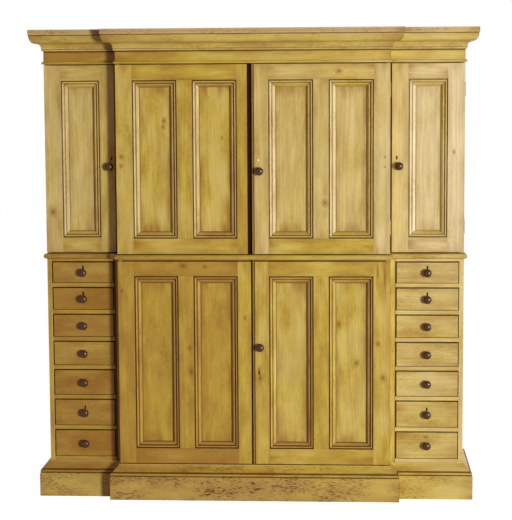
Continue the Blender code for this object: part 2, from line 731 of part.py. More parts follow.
def make_drawer(side, number, bottom, top):
    """A drawer: a front, a box of sides, back and bottom behind it, and a turned knob."""
    word = "left" if side < 0 else "right"
    name = f"drawer_{word}_{number}"
    near, far = sorted((side * WING_SPACE[0], side * WING_SPACE[1]))
    front = WING_Y + HINGE_GAP
    behind = front + DRAWER_FRONT
    end = BACK_Y - BACK_BOARD - DRAWER_BACK_GAP
    drawer = boxes(
        name,
        [((near + DRAWER_GAP, front, bottom + DRAWER_GAP), (far - DRAWER_GAP, behind, top - DRAWER_GAP))],
        parts,
    )
    middle = (near + far) / 2
    height = (bottom + top) / 2
    set_origin(drawer, (middle, front, height))
    left = near + DRAWER_SIDE_GAP
    right = far - DRAWER_SIDE_GAP
    floor = bottom + FIT
    case = ((left, front + DRAWER_FRONT / 2, floor), (right, end, top - DRAWER_GAP))
    hollow = (
        (left + DRAWER_SIDE, behind, floor + DRAWER_BOTTOM),
        (right - DRAWER_SIDE, end - DRAWER_SIDE, top + OVERCUT),
    )
    weld_on(drawer, boxes(name + " box", [case], cutters))
    cut(drawer, boxes(name + " inside", [hollow], cutters))
    cut(drawer, knob_hole(name + " knob hole", middle, height, front))
    if number in LOCKED_DRAWERS:
        cut(drawer, keyhole(name + " keyhole", middle, height + DRAWER_KEY_RISE, front))
    make_knob(f"knob_{word}_{number}", drawer, middle, height, front)
    return finish(drawer, drawer_pine)


for existing in list(bpy.data.objects):
    bpy.data.objects.remove(existing)
parts = collection("breakfront cabinet")
cutters = collection("cutters")

pine = material("waxed pine", (0.55, 0.36, 0.10), 0.45)
drawer_pine = material("waxed pine, drawers", (0.50, 0.29, 0.07), 0.45)
inside_pine = material("bare pine", (0.52, 0.36, 0.15), 0.65)
knob_wood = material("dark turned wood", (0.07, 0.045, 0.02), 0.35)
brass = material("aged brass", (0.40, 0.28, 0.10), 0.40, 1.0)

make_plinth()
make_lower_carcase()
make_back("lower_back", LOWER_BACK)
make_waist()
make_upper_carcase()
make_back("upper_back", UPPER_BACK)
make_cornice()
make_shelf("shelf_lower", LOWER_SHELVES[0])
for level, shelf_height in enumerate(UPPER_SHELVES, 1):
    make_shelf(f"shelf_upper_{level}", shelf_height)
make_wing_doors()
make_meeting_tongue(make_centre_doors("upper", UPPER_DOOR, UPPER_KNOB_RISE, UPPER_KEY_RISE))
make_centre_doors("lower", LOWER_DOOR, LOWER_KNOB_RISE, LOWER_KEY_RISE)
for bank in (-1, 1):
    for count, (floor_z, head_z) in enumerate(drawer_spaces(), 1):
        make_drawer(bank, count, floor_z, head_z)
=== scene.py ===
"""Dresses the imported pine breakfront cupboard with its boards, mouldings, knobs and finishes.

Metres, +Z up, the front faces -Y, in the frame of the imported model. Every piece is worked out as arrays of
points, carries the run of its own grain as attributes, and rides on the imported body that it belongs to.
"""

from collections import namedtuple
from functools import partial
from itertools import product
from math import pi, radians

import bpy
import numpy as np
from mathutils import Euler, Matrix, Vector


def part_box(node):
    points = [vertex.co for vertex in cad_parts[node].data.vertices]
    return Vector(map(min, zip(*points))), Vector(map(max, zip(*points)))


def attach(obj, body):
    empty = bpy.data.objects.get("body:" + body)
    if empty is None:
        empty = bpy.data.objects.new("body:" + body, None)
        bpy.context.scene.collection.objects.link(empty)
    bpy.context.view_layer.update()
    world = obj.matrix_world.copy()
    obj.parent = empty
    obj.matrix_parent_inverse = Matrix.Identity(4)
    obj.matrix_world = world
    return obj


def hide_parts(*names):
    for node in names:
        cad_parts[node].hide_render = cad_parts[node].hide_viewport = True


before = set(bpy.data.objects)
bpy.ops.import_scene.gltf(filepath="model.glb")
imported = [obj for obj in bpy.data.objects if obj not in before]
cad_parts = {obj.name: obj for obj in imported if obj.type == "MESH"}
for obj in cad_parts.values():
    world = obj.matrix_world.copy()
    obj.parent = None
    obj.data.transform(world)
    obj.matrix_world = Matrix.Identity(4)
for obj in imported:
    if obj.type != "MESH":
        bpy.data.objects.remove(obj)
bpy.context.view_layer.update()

bl_info = {
    "name": "Pine breakfront cupboard",
    "version": (1, 0, 0),
    "blender": (4, 5, 0),
    "location": "3D View > Sidebar > Cupboard",
    "description": "Boards, mouldings, turned knobs and waxed pine for a packed breakfront cupboard",
    "category": "Object",
}

# Plan of the cabinet: sign and word of each side, half widths to the carcase's sides and the middle's sides,
# and the planes in Y
SIDES = ((-1, "left"), (1, "right"))
SIDE_X = 1.035
CENTRE_X = 0.671
BACK_Y = 0.3175
WING_Y = -0.1825
CENTRE_Y = -0.2525

# Boards of the carcase and the spaces between them, rails, the planks of the backs and the joint in a shelf, and
# the play in a joint
SIDE_BOARD = 0.022
CENTRE_SIDE_BOARD = 0.021
WING_INNER_BOARD = 0.029
BACK_BOARD = 0.010
CARCASE_SETBACK = 0.025
SHELF_BOARD = 0.020
WING_INSIDE = (CENTRE_X + WING_INNER_BOARD, SIDE_X - SIDE_BOARD)
CENTRE_INSIDE = CENTRE_X - CENTRE_SIDE_BOARD
BACK_RAIL = 0.020
RAIL_GAP = 0.001
BACK_PLANKS = 12
PLANK_SWAY = 0.02
PLANK_EASE = 0.0015
SHELF_SPLIT = 0.55
FIT = 0.0003

# Tones of the sides, the partitions and the drawer rails, each as (what the right has over the middle, the
# middle);
# the left is darker and the right paler partly as painted shade and sheen of the light from the right, and the
# left partitions darkest as painted shade beside the middle
SIDE_TONE = (0.25, -0.35)
PARTITION_TONE = (0.25, -0.6)
RAIL_TONE = (0.3, -0.4)

# How far old wax and the painted shade of the gaps reach over front edges that a door closes on, and how far
# painted shade reaches over a front edge that lies in the middle's shadow
REBATE_WAX_AND_SHADE = 0.011
PAINTED_SHADE_REACH = 0.006

# Heights: plinth board, its moulding, the base's floor and head, the waist, the upper floor and head
PLINTH_TOP = 0.118
PLINTH_MOULDING_TOP = 0.174
LOWER_FLOOR = 0.195
LOWER_HEAD = 1.180
WAIST = (1.198, 1.224)
UPPER_FLOOR = 1.246
UPPER_HEAD = 2.138
FRIEZE_BOTTOM = 2.160
CORNICE_BOTTOM = 2.231
TOTAL_HEIGHT = 2.328
WING_SHELVES = (1.530, 1.834)

# Mouldings: their reach beyond the carcase, the plinth's board, the joint in the waist, the crown's drop over the
# frieze, the fillet, the painted shade under it as (reach where it starts, depth), and the ledge inside as
# (lap, height)
PLINTH_REACH = 0.048
PLINTH_BOARD = 0.022
WAIST_REACH = 0.015
WAIST_JOINT = 0.160
CORNICE_REACH = 0.065
CROWN_DROP = 0.006
FILLET_HEIGHT = 0.025
FILLET_BACK = 0.020
FILLET_SHADE = (0.05, 0.0026)
CORNICE_LEDGE = (0.045, 0.040)

# Distances to a rubbed arris that a whole face is given where dust or light has paled it
DUSTY = 0.0017
FADED = 0.0026

# Doors: frames with sunk panels, the gaps round them, each opening as (left, right) on the right half of the
# cabinet, the bead, the strips at the meeting edges, painted dark as the shade in the gap between the doors,
# and the softened edges of thin pieces
DOOR_RAIL = 0.078
PANEL_FRONT = 0.014
PANEL_BACK = 0.020
PANEL_MOULDING = 0.0345
WING_EDGES = (0.687, 0.680)
DOOR_HEAD_GAP = 0.003
LOWER_HEAD_GAP = 0.006
DOOR_FOOT_GAP = 0.002
WING_FOOT_GAP = 0.005
MEETING_GAP = 0.005
CENTRE_PANELS = ((0.077, 0.296), (0.371, 0.590))
WING_PANEL = (0.761, 0.952)
BEAD_EDGE = 0.0075
BEAD_TOP = 0.005
BEAD_ROUND = 0.003
BEAD_QUIRK = (0.0004, 0.0038)
BEAD_TONE = -0.75
TONGUE_EDGE = -0.027
TONGUE_SINK = 0.014
EDGE_SINK = 0.0015
# Width of the lower strip, painted dark as the shade in the gap between the lower doors
EDGE_SHADE_WIDTH = 0.0008
EDGE_EASE = 0.0002
THIN_EASE = 0.0005

# Hidden edges of less than nothing: tight joints in a frame, and looser ones round a drawer's front, whose
# darker edges also paint the shade of the gaps round it
TIGHT = -0.0030
LOOSE_AND_SHADED = -0.0022

# Drawers: boards, play, the rise of the fronts and of their keyholes, numbers from the top down, and on each side
# the gap to the right and the tone, the left one darker partly as painted shade
DRAWER_FRONT = 0.020
DRAWER_SIDE = 0.011
DRAWER_BOTTOM = 0.008
DRAWER_CLEARANCE = 0.001
DRAWER_TOP_GAP = 0.002
DRAWER_RISE = 0.0048
DRAWER_KEY_RISE = 0.030
LOCKED_DRAWERS = (1, 2, 6)
DRAWERS = range(1, 8)
DRAWER_ASIDE = {"left": 0.006, "right": 0.004}
DRAWER_TONE = {"left": -0.78, "right": -0.31}
DRAWER_TONE_SWAY = 0.08
DRAWER_INSIDE_EASE = 0.0008
DRAWER_BOTTOM_EASE = 0.0006

# Keyholes, each as (x, z) by its door; their shape, the seam that they open from and the painted shade inside
# them; and the plug that closes one of them, sunk by a share of its rise
DOOR_KEYHOLES = {
    "door_wing_left": (-0.704, 1.700),
    "door_wing_right": (0.704, 1.700),
    "door_lower_right": (0.027, 0.641),
}
KEYHOLE_RADIUS = 0.0052
KEYHOLE_SLOT = 0.013
KEYHOLE_FOOT = 0.0042
KEYHOLE_DEPTH = 0.009
KEYHOLE_SEAM = 0.0002
KEYHOLE_SHADE = 0.01
PLUG_PLACE = (0.027, 1.689)
PLUG_HALF = (0.0048, 0.0062)
PLUG_RISE = 0.0016
PLUG_SINK = 0.2
PLUG_SIDES = 28

# Hinges: radius of the pin, width of a leaf, and the knuckles with the half width and depth of their grooves
HINGE_RADIUS = 0.004
HINGE_LEAF = 0.018
HINGE_SIDES = 20
KNUCKLES = 5
KNUCKLE_GROOVE = (0.0004, 0.0008)

# Stage: floor, fill light, lamps as (name, width, watts, place) turned to one point, and the camera's place, turns
# and lens
FLOOR_REACH = 20.0
FLOOR_DROP = 0.0006
FLOOR_COLOUR = "#C8C8C8"
FLOOR_GLOW = 0.93
FILL_COLOUR = "#FFC0E2"
FILL = 0.21
LIGHTS = (("key", 2.6, 1500, (7.73, -11.06, 1.56)), ("side", 1.8, 110, (6.5, -0.9, 1.4)))
LIGHT_AIM = Vector((0.0, -0.2, 1.2))
CAMERA_PLACE = (0.485, -8.1825, 2.0303)
CAMERA_TURNS = ((0, 0, 0.0593), (-0.1043, 0, 0), (0, 0.0056, 0))
CAMERA_LENS = 112.52
VIEW_END = 200

# Looks of the doors: tone of the wood, darker on the left and the lower doors partly as painted shade of the
# light from the right; what the left and right stiles, the bottom and top rails, the panels and the mouldings
# differ by; the painted highlight, with rubbed paleness, on the mouldings' lit sides; how far wax, with painted
# shade, fills their quirks; the haze at the panels' ends; and the amount of scuffs and dents
DoorLook = namedtuple("DoorLook", "tone stiles rails panel moulding lit soak haze marks")
DOOR_LOOKS = {
    "door_wing_left": DoorLook(-0.12, (0.02, -0.1), (-0.22, -0.12), 0.06, -0.2, 0.45, -0.0002, 0.6, 0.14),
    "door_wing_right": DoorLook(0.18, (-0.14, 0.18), (-0.05, -0.05), 0.1, -0.25, 0.5, -0.0012, 0.5, 0.12),
    "door_upper_left": DoorLook(-0.42, (0.06, -0.12), (-0.05, -0.1), 0.04, -0.1, 0.5, 0.0005, 1.0, 0.16),
    "door_upper_right": DoorLook(-0.16, (0.0, 0.18), (-0.25, -0.05), 0.03, -0.15, 0.5, -0.0004, 0.9, 0.14),
    "door_lower_left": DoorLook(-0.68, (0.0, 0.22), (-0.28, -0.05), 0.03, -0.1, 0.1, 0.0012, 0.8, 0.2),
    "door_lower_right": DoorLook(-0.44, (0.0, 0.04), (0.0, -0.05), 0.06, -0.15, 0.2, 0.0008, 0.8, 0.15),
}

# Knots and shakes seen in the fronts, each as (x, z, radius, length over width)
KNOTS = np.array([
    (-1.001, 1.431, 0.012, 1.4), (-0.434, 1.881, 0.008, 1.4), (-0.439, 1.852, 0.006, 1.4),
    (-0.646, 1.706, 0.006, 1.4), (-0.647, 1.662, 0.006, 1.4), (-0.150, 1.797, 0.004, 1.4),
    (0.422, 2.119, 0.008, 1.4), (0.353, 1.479, 0.008, 1.4), (0.645, 1.702, 0.003, 1.4),
    (0.645, 1.654, 0.003, 1.4), (0.983, 1.723, 0.005, 1.4), (-0.346, 1.169, 0.012, 1.4),
    (-0.238, 1.164, 0.007, 1.4), (-0.316, 0.760, 0.008, 1.4), (-0.310, 0.640, 0.012, 1.7),
    (-0.651, 1.044, 0.006, 1.4), (-0.042, 0.911, 0.006, 1.4), (0.421, 0.880, 0.009, 1.4),
    (0.508, 0.686, 0.008, 1.4), (0.638, 0.614, 0.009, 1.4), (0.613, 0.784, 0.007, 1.4),
    (0.854, 0.305, 0.006, 1.4), (0.611, 1.138, 0.0046, 9.0), (0.646, 1.110, 0.0046, 13.0),
    (0.031, 0.612, 0.0080, 1.8), (0.026, 0.650, 0.0050, 2.4),
    (0.274, 0.690, 0.0050, 8.0), (0.274, 0.370, 0.0050, 14.0),
])

# A board's chance: how far it lies from the heart of its tree at least and at most, its tilt and its tone
HEART_ASIDE = ((-0.06, 0.03, 0.0), (0.06, 0.12, 9.0))
HEART_TILT = 0.02
TONE_SWAY = 0.05

# Sections: share of an ease where a soft corner bends, a side long enough to be halved, and the sines of the turns
# that make an inner and an outer corner
CORNER_BEND = 0.3
LONG_SIDE = 0.006
INNER_TURN = -0.3
OUTER_TURN = 0.5

# Share of the depth in the distance to a knot; distances given where there is no knot, and no edge or arris;
# attributes of a piece; angle of a sharp edge
KNOT_DEPTH = 0.3
NO_KNOT = 40.0
FAR = 0.05
FIELDS = ("grain", "wear", "soil", "knot_1", "knot_2", "knot_3", "knot_4")
SHARP = radians(21)

Timber = namedtuple("Timber", "points quads caps grain wear soil knots")
chance = np.random.default_rng(1871)


def linear(colour):
    """Linear red, green and blue of an sRGB hex value."""
    parts = np.array([int(colour[i:i + 2], 16) for i in (1, 3, 5)]) / 255
    return tuple(np.where(parts <= 0.04045, parts / 12.92, ((parts + 0.055) / 1.055) ** 2.4))


def hue(name, description, colour):
    """A colour property with a default written as an sRGB hex value."""
    return bpy.props.FloatVectorProperty(
        name=name, description=description, subtype="COLOR", size=3, min=0, max=1, default=linear(colour)
    )


def length(name, description, default):
    """A length property in metres."""
    return bpy.props.FloatProperty(
        name=name, description=description, default=default, min=0, precision=4, unit="LENGTH",
        subtype="DISTANCE",
    )


class CupboardSizes(bpy.types.PropertyGroup):
    """Sizes of the finish work that a user may change."""

    joint_ease: length("Joint ease", "Softened edge of framed boards, a fine line at each joint", 0.0006)
    board_ease: length("Board ease", "Softened edge of carcase boards", 0.0012)
    drawer_ease: length("Drawer ease", "Rounded edge of a drawer's front", 0.0020)
    drawer_gap: length("Drawer gap", "Gap over a drawer's front and to its left", 0.0056)
    drawer_shut: length("Drawer rest", "Gap under a drawer's front", 0.0016)
    ring_width: length("Ring width", "Width of one year's growth in the pine", 0.0085)
    knob_sides: bpy.props.IntProperty(
        name="Knob sides", description="Facets round a turned knob", default=40, min=12, max=96
    )


class CupboardColours(bpy.types.PropertyGroup):
    """Colours of the finishes that a user may change."""

    # Pale pine is also the painted highlight along crests on the mouldings' lit sides
    straw: hue("Pale pine", "Waxed early wood where it has bleached", "#E2D3A2")
    honey: hue("Honey pine", "Waxed early wood where it has kept its colour", "#CAB444")
    amber: hue("Amber pine", "Waxed early wood where the wax lies thickest", "#A88434")
    late: hue("Late wood", "Brown of late wood and of stains in the wax", "#94661C")
    drawer: hue("Drawer pine", "Waxed early wood of the drawers", "#CAB458")
    russet: hue("Russet pine", "Waxed early wood of the drawers where the wax lies thickest", "#9C7328")
    bare: hue("Bare pine", "Unwaxed pine inside and behind", "#C29A5C")
    scuff: hue("Scuffs", "Brown of bruises in the plinth and the doors", "#5A3208")
    # Old wax also paints the shade in gaps, in the keyholes, along the frieze's top and under the cornice's fillet
    wax: hue("Old wax", "Dark wax and dirt left in corners", "#42200A")
    # Near black, painted as the shade in the gaps between the middle doors
    black: hue("Painted gap shade", "Dark strips at the meeting edges", "#26120E")
    knot: hue("Knot", "Hearts of the knots", "#6E3A08")
    turned: hue("Turned wood", "Knobs of dark hardwood", "#3E2312")
    brass: hue("Aged brass", "Hinges", "#8A6A34")
    bone: hue("Bone", "Small pale plug in a keyhole", "#F0E4C4")


def stack(rows):
    """Closed skin of a stack of equal loops, rows[station, point]: quads join each loop to the next, a flat
    cap closes either end, and all is turned outwards where the volume that it holds comes out negative."""
    stations, around = rows.shape[:2]
    index = np.arange(stations * around).reshape(stations, around)
    after = np.roll(index, -1, axis=1)
    quads = np.stack([index[:-1], after[:-1], after[1:], index[1:]], axis=-1).reshape(-1, 4)
    caps = [index[0, ::-1], index[-1]]
    points = rows.reshape(-1, 3)
    a, b, c, d = (points[quads[:, i]] - points.mean(0) for i in range(4))
    volume = np.sum(a * (np.cross(b, c) + np.cross(c, d)))
    for cap in caps:
        corner = points[cap] - points.mean(0)
        volume += np.sum(corner[0] * np.cross(corner[1:-1], corner[2:]))
    if volume < 0:
        quads = quads[:, ::-1]
        caps = [cap[::-1] for cap in caps]
    return points, quads, caps


def heart(across, through, along):
    """Place of each point from the heart of its tree: the board's own axes, moved aside by chance and tilted
    a little, so that the year rings are circles round the third axis."""
    aside = chance.uniform(*HEART_ASIDE)
    tilt = chance.uniform(-HEART_TILT, HEART_TILT, 2)
    across = across + aside[0] + tilt[0] * along
    through = through + aside[1] + tilt[1] * along
    return np.stack([across, through, along + aside[2]], -1)


def knots_near(points, run):
    """Four vectors to knots inside a board's outline, in knot radii and drawn out along its grain; a board
    without knots has them far away."""
    low = points.min(0)
    high = points.max(0)
    inside = np.all((KNOTS[:, :2] > low[::2]) & (KNOTS[:, :2] < high[::2]), axis=1)
    found = np.full((len(points), 4, 3), NO_KNOT)
    for number, (x, z, radius, stretch) in enumerate(KNOTS[inside][:4]):
        offset = (points - (x, low[1], z)) / radius
        offset[:, 1] *= KNOT_DEPTH
        offset[:, run] /= stretch
        found[:, number] = offset
    return found


def timber(rows, grain, edge, end, rub_and_highlight, haze, marks, tone, run=2):
    """One piece of wood: a closed skin with its grain; then its distances to the nearest edge and end, which
    darken as wax and at some edges as painted shade, and its tone; then the haze at its ends, the amount of
    scuffs and dents and the distance to an arris rubbed pale, which on lit mouldings is painted highlight."""
    points, quads, caps = stack(rows)
    tone = np.broadcast_to(tone + chance.uniform(-TONE_SWAY, TONE_SWAY), edge.shape)
    wear = np.stack([edge, end, tone], -1).reshape(-1, 3)
    soil = np.stack([np.full(edge.shape, haze), np.broadcast_to(marks, edge.shape), rub_and_highlight], -1).reshape(-1, 3)
    return Timber(points, quads, caps, grain.reshape(-1, 3), wear, soil, knots_near(points, run))


def keyhole_stations(run):
    """Stations through a keyhole along a board and how far it opens to either side of its middle there: along
    an upright board the round top and the slot follow one another, along a level one they lie side by side."""
    if run == 2:
        turn = np.radians([-50, -20, 10, 40, 65, 85])
        place = np.concatenate([[-KEYHOLE_SLOT] * 2, KEYHOLE_RADIUS * np.sin(turn), [KEYHOLE_RADIUS] * 2])
        half = np.concatenate([[0, KEYHOLE_FOOT], KEYHOLE_RADIUS * np.cos(turn), [0.0003, 0]])
        return place, -half, half
    shoulder = (KEYHOLE_RADIUS + KEYHOLE_FOOT) / 2
    place = np.array([-KEYHOLE_RADIUS, -KEYHOLE_RADIUS, -shoulder, -KEYHOLE_FOOT, -KEYHOLE_FOOT])
    place = np.concatenate([place, [0], -place[::-1]])
    rise = np.sqrt(np.maximum(KEYHOLE_RADIUS ** 2 - place ** 2, 1e-9))
    slot = np.abs(np.arange(len(place)) - len(place) // 2) < 2
    return place, np.where(slot, -KEYHOLE_SLOT, -rise), rise


def board(low, high, run, ease, tone=0.0, haze=0.0, marks=0.3, tuck=0.0, keyhole=None):
    """A sawn board between two corners, its grain along axis run: an oblong section with softened corners is
    carried along the board and drawn in at the ends. tuck is how much of its front's edges lies hidden, or less
    than nothing where a tight joint takes no dirt; more tuck darkens them with wax and, at gaps and in shadow,
    with painted shade. keyhole is the (x, z) of a keyhole sunk into its front."""
    low, high = np.minimum(low, high), np.maximum(low, high)
    size = high - low
    middle = (low + high) / 2
    wide, thin = sorted((axis for axis in range(3) if axis != run), key=lambda axis: -size[axis])
    a, b, half = size[wide] / 2, size[thin] / 2, size[run] / 2
    soft = CORNER_BEND * ease

    # Points 12 to 15 of the section lie together in the middle of the front, where they open into a keyhole
    u = np.array([
        a, a, a - soft, a - ease, 0, ease - a, soft - a, -a, -a, -a, soft - a, ease - a, 0, 0, 0, 0,
        a - ease, a - soft, a,
    ])
    v = np.array([
        0, b - ease, b - soft, b, b, b, b - soft, b - ease, 0, ease - b, soft - b, -b, -b, -b, -b, -b,
        -b, soft - b, ease - b,
    ])
    along = np.array([-half, soft - half, ease - half, 0, half - ease, half - soft, half])
    draw = np.array([ease, soft, 0, 0, 0, soft, ease])
    low_lip = np.zeros(7)
    high_lip = np.zeros(7)
    sink = np.zeros(7)
    if keyhole:
        centre = keyhole[0] - middle[0] if run == 2 else keyhole[1] - middle[2]
        place = keyhole[1] - middle[2] if run == 2 else keyhole[0] - middle[0]
        hole, lips, rises = keyhole_stations(run)
        depth = np.full(len(hole), KEYHOLE_DEPTH)
        depth[[0, -1]] = 0
        ends = [0, 1, 2, 4, 5, 6]
        along = np.concatenate([along[ends], hole + place])
        order = np.argsort(along, kind="stable")
        along = along[order]
        draw = np.concatenate([draw[ends], np.zeros(len(hole))])[order]
        low_lip = np.concatenate([np.full(6, centre - KEYHOLE_SEAM), lips + centre])[order]
        high_lip = np.concatenate([np.full(6, centre + KEYHOLE_SEAM), rises + centre])[order]
        sink = np.concatenate([np.zeros(6), depth])[order]
    across = u * (1 - draw[:, None] / a)
    through = v * (1 - draw[:, None] / b)
    across[:, 12:14] += low_lip[:, None]
    across[:, 14:16] += high_lip[:, None]
    through[:, 13:15] += sink[:, None]
    keep = slice(None) if keyhole else [i for i in range(19) if i not in (13, 14, 15)]
    across, through = across[:, keep], through[:, keep]
    along = np.broadcast_to(along[:, None], across.shape)
    rows = np.empty((*across.shape, 3))
    rows[..., wide] = middle[wide] + across
    rows[..., thin] = middle[thin] + through
    rows[..., run] = middle[run] + along
    hidden = np.where(rows[..., 1] < middle[1], tuck, min(tuck, 0.0))
    edge = np.maximum(a - np.abs(across), b - np.abs(through)) - hidden
    if keyhole:
        # The keyhole's inside is painted dark as the shade in the hole
        edge[:, 13:15] = np.where(sink[:, None] > 0, -KEYHOLE_SHADE, edge[:, 13:15])
    end = half - np.abs(along) - hidden
    far = np.full(edge.shape, FAR)
    return timber(rows, heart(across, through, along), edge, end, far, haze, marks, tone, run)


def rounded(centre, radii, start, end, steps):
    """Points along part of an ellipse, with angles in degrees."""
    turn = np.radians(np.linspace(start, end, steps + 1))
    return np.stack([centre[0] + radii[0] * np.cos(turn), centre[1] + radii[1] * np.sin(turn)], -1)


def section(*parts):
    """A closed outline of a stick from lists of points, with each long side halved, and the distances of each
    point along the outline to the nearest inner corner, where dirt settles, and outer one, which is rubbed."""
    outline = np.concatenate([np.atleast_2d(part) for part in parts])
    following = np.roll(outline, -1, axis=0)
    halved = np.stack([outline, (outline + following) / 2], 1).reshape(-1, 2)
    gap = np.linalg.norm(following - outline, axis=1)
    keep = np.stack([np.ones(len(gap), bool), gap > LONG_SIDE], 1).reshape(-1)
    outline = halved[keep]
    before = outline - np.roll(outline, 1, axis=0)
    after = np.roll(outline, -1, axis=0) - outline
    turn = before[:, 0] * after[:, 1] - before[:, 1] * after[:, 0]
    turn = turn / (np.linalg.norm(before, axis=1) * np.linalg.norm(after, axis=1))
    following = np.roll(outline, -1, axis=0)
    area = np.sum(outline[:, 0] * following[:, 1] - outline[:, 1] * following[:, 0])
    turn = turn * np.sign(area)
    place = np.concatenate([[0], np.cumsum(np.linalg.norm(after, axis=1))])
    apart = np.abs(place[:-1, None] - place[:-1])
    apart = np.minimum(apart, place[-1] - apart)
    inner = np.where(turn < INNER_TURN, apart, FAR).min(1)
    outer = np.where(turn > OUTER_TURN, apart, FAR).min(1)
    return outline, inner, outer


def stick(starts, ends, shape, run, tone=0.0, haze=0.0, marks=0.3, soak=0.0015):
    """A moulded stick: loops of its section at either end, just inside them and half way, joined to one closed
    skin. The ends may be cut square or to a mitre, soak is how far dark wax, in places with painted shade,
    fills the inner corners, and tone and marks may be three values, at the cabinet's left end, middle and
    right end."""
    outline, inner, outer = shape
    share = np.array([0, 0.002, 0.5, 0.998, 1])[:, None, None]
    rows = starts + (ends - starts) * share
    along = np.linalg.norm(rows - starts, axis=-1)
    span = np.linalg.norm(ends - starts, axis=-1)
    end = np.minimum(along, span - along)
    across = np.broadcast_to(outline[:, 0], along.shape)
    through = np.broadcast_to(outline[:, 1], along.shape)
    edge = np.broadcast_to(inner - soak, along.shape)
    rub_and_highlight = np.broadcast_to(outer, along.shape)
    if np.size(tone) > 1:
        tone = np.interp(rows[..., 0], (-SIDE_X, 0.0, SIDE_X), tone)
    if np.size(marks) > 1:
        marks = np.interp(rows[..., 0], (-SIDE_X, 0.0, SIDE_X), marks)
    return timber(rows, heart(across, through, rows[..., run]), edge, end, rub_and_highlight, haze, marks, tone, run)


def plan(outset):
    """Corners of the breakfront plan at each outset, as [outset, corner, xy], from the left back round the
    front to the right back."""
    outset = np.asarray(outset)
    side, middle = SIDE_X + outset, CENTRE_X + outset
    wing, centre = WING_Y - outset, CENTRE_Y - outset
    back = np.full_like(outset, BACK_Y)
    x = np.stack([-side, -side, -middle, -middle, middle, middle, side, side], -1)
    y = np.stack([back, wing, wing, centre, centre, wing, wing, back], -1)
    return np.stack([x, y], -1)


def runs(shape, tones=(0.0, 0.0, 0.0), haze=0.0, marks=0.3, soak=0.0015):
    """Seven mitred lengths of one section, given as (reach, height), carried round the breakfront plan; tones,
    and marks where they are three, are those at the left end, the middle and the right end. The tones given
    are mostly darker to the left, partly as painted shade of the light from the right."""
    outline = shape[0]
    corners = plan(outline[:, 0])
    heights = np.broadcast_to(outline[:, 1, None, None], (*corners.shape[:2], 1))
    places = np.concatenate([corners, heights], -1)
    return [
        stick(places[:, k], places[:, k + 1], shape, 0 if k % 2 else 1, tones, haze, marks, soak)
        for k in range(7)
    ]


def panel_moulding(left, right, low, high, front, tone, soak, lit):
    """Four mitred lengths of a sunk moulding round a panel: a quirk, a roll, a groove, a second arris and a
    slope down to the panel as (inset, depth), run round the opening's edges, rubbed pale along both crests. The
    lit side gets painted highlight, paler wood, a wider pale crest and a clearer quirk; the sides turned from the
    light get painted shade, darker wood and more dark wax in the quirk."""
    quirk, roll, arris, valley = 0.006, 0.0085, 0.0222, 0.0070
    outline, inner = section(
        [(0.0, 0.0022), (0.0016, 0.0062), (0.0034, 0.0046)],
        rounded((roll, 0.0072), (0.0052, 0.0058), -150, -10, 9),
        [(0.0158, 0.0088), (0.0206, 0.0053)],
        rounded((arris, 0.0066), (0.0020, 0.0020), -110, -50, 3),
        [(0.0285, 0.0094), (0.0328, 0.0132), (PANEL_MOULDING, 0.0136)],
        [(PANEL_MOULDING, PANEL_FRONT), (0.0, PANEL_FRONT)],
    )[:2]
    inset, depth = outline.T
    crests = np.minimum(np.abs(inset - roll), np.abs(inset - arris))
    # The pale band along the crests widens on the lit side as painted highlight
    crests = np.where(depth < valley, crests + (0.5 - lit) * 0.004, FAR)
    y = front + depth
    a = np.stack([left + inset, y, low + inset], -1)
    b = np.stack([right - inset, y, low + inset], -1)
    c = np.stack([right - inset, y, high - inset], -1)
    d = np.stack([left + inset, y, high - inset], -1)
    timbers = []
    # The sides' tones and quirks follow the light from the right: the right side darkest, as painted shade, the
    # left side palest with the clearest quirk, as painted highlight
    for start, end, run, more, press, clearing in (
        (a, b, 0, -0.20, 0.0008, 0.0016), (b, c, 2, -0.28, 0.0016, 0.0002),
        (c, d, 0, -0.15, 0.0000, 0.0024), (d, a, 2, lit, 0.0004, 0.0036),
    ):
        shape = (outline, np.where(inset < quirk, inner - press, inner + clearing), crests)
        timbers.append(stick(start, end, shape, run, tone + more, 0.3, soak=soak))
    return timbers


def turned(outline, place, sides):
    """A turned piece: an outline of (radius, height) swung round the line through place that points to the
    front, each ring a circle of its radius."""
    outline = np.asarray(outline)
    turn = np.arange(sides) * 2 * pi / sides
    radius, height = outline[:, :1], outline[:, 1:]
    across = radius * np.cos(turn)
    through = radius * np.sin(turn)
    along = np.broadcast_to(height, across.shape)
    rows = np.stack([place[0] + across, place[1] - along, place[2] + through], -1)
    far = np.full(across.shape, FAR)
    return timber(rows, heart(across, through, along), far, far, far, 0.0, 0.0, 0.0, 1)


def piece(name, body, timbers, look, replaced=()):
    """One object of closed skins, with its attributes, finish and body; it stands for the replaced nodes."""
    starts = np.cumsum([0] + [len(wood.points) for wood in timbers])
    faces = []
    for wood, start in zip(timbers, starts):
        faces += (wood.quads + start).tolist()
        faces += [(cap + start).tolist() for cap in wood.caps]
    mesh = bpy.data.meshes.new(name)
    mesh.from_pydata(np.concatenate([wood.points for wood in timbers]).tolist(), [], faces)
    mesh.update()
    mesh.shade_smooth()
    mesh.set_sharp_from_angle(angle=SHARP)
    values = [np.concatenate([getattr(wood, field) for wood in timbers]) for field in FIELDS[:3]]
    values += list(np.concatenate([wood.knots for wood in timbers]).swapaxes(0, 1))
    for field, value in zip(FIELDS, values):
        layer = mesh.attributes.new(field, "FLOAT_VECTOR", "POINT")
        layer.data.foreach_set("vector", value.astype(np.float32).ravel())
    mesh.materials.append(look)
    made = bpy.data.objects.new(name, mesh)
    bpy.context.scene.collection.objects.link(made)
    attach(made, body)
    if replaced:
        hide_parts(*replaced)
    return made


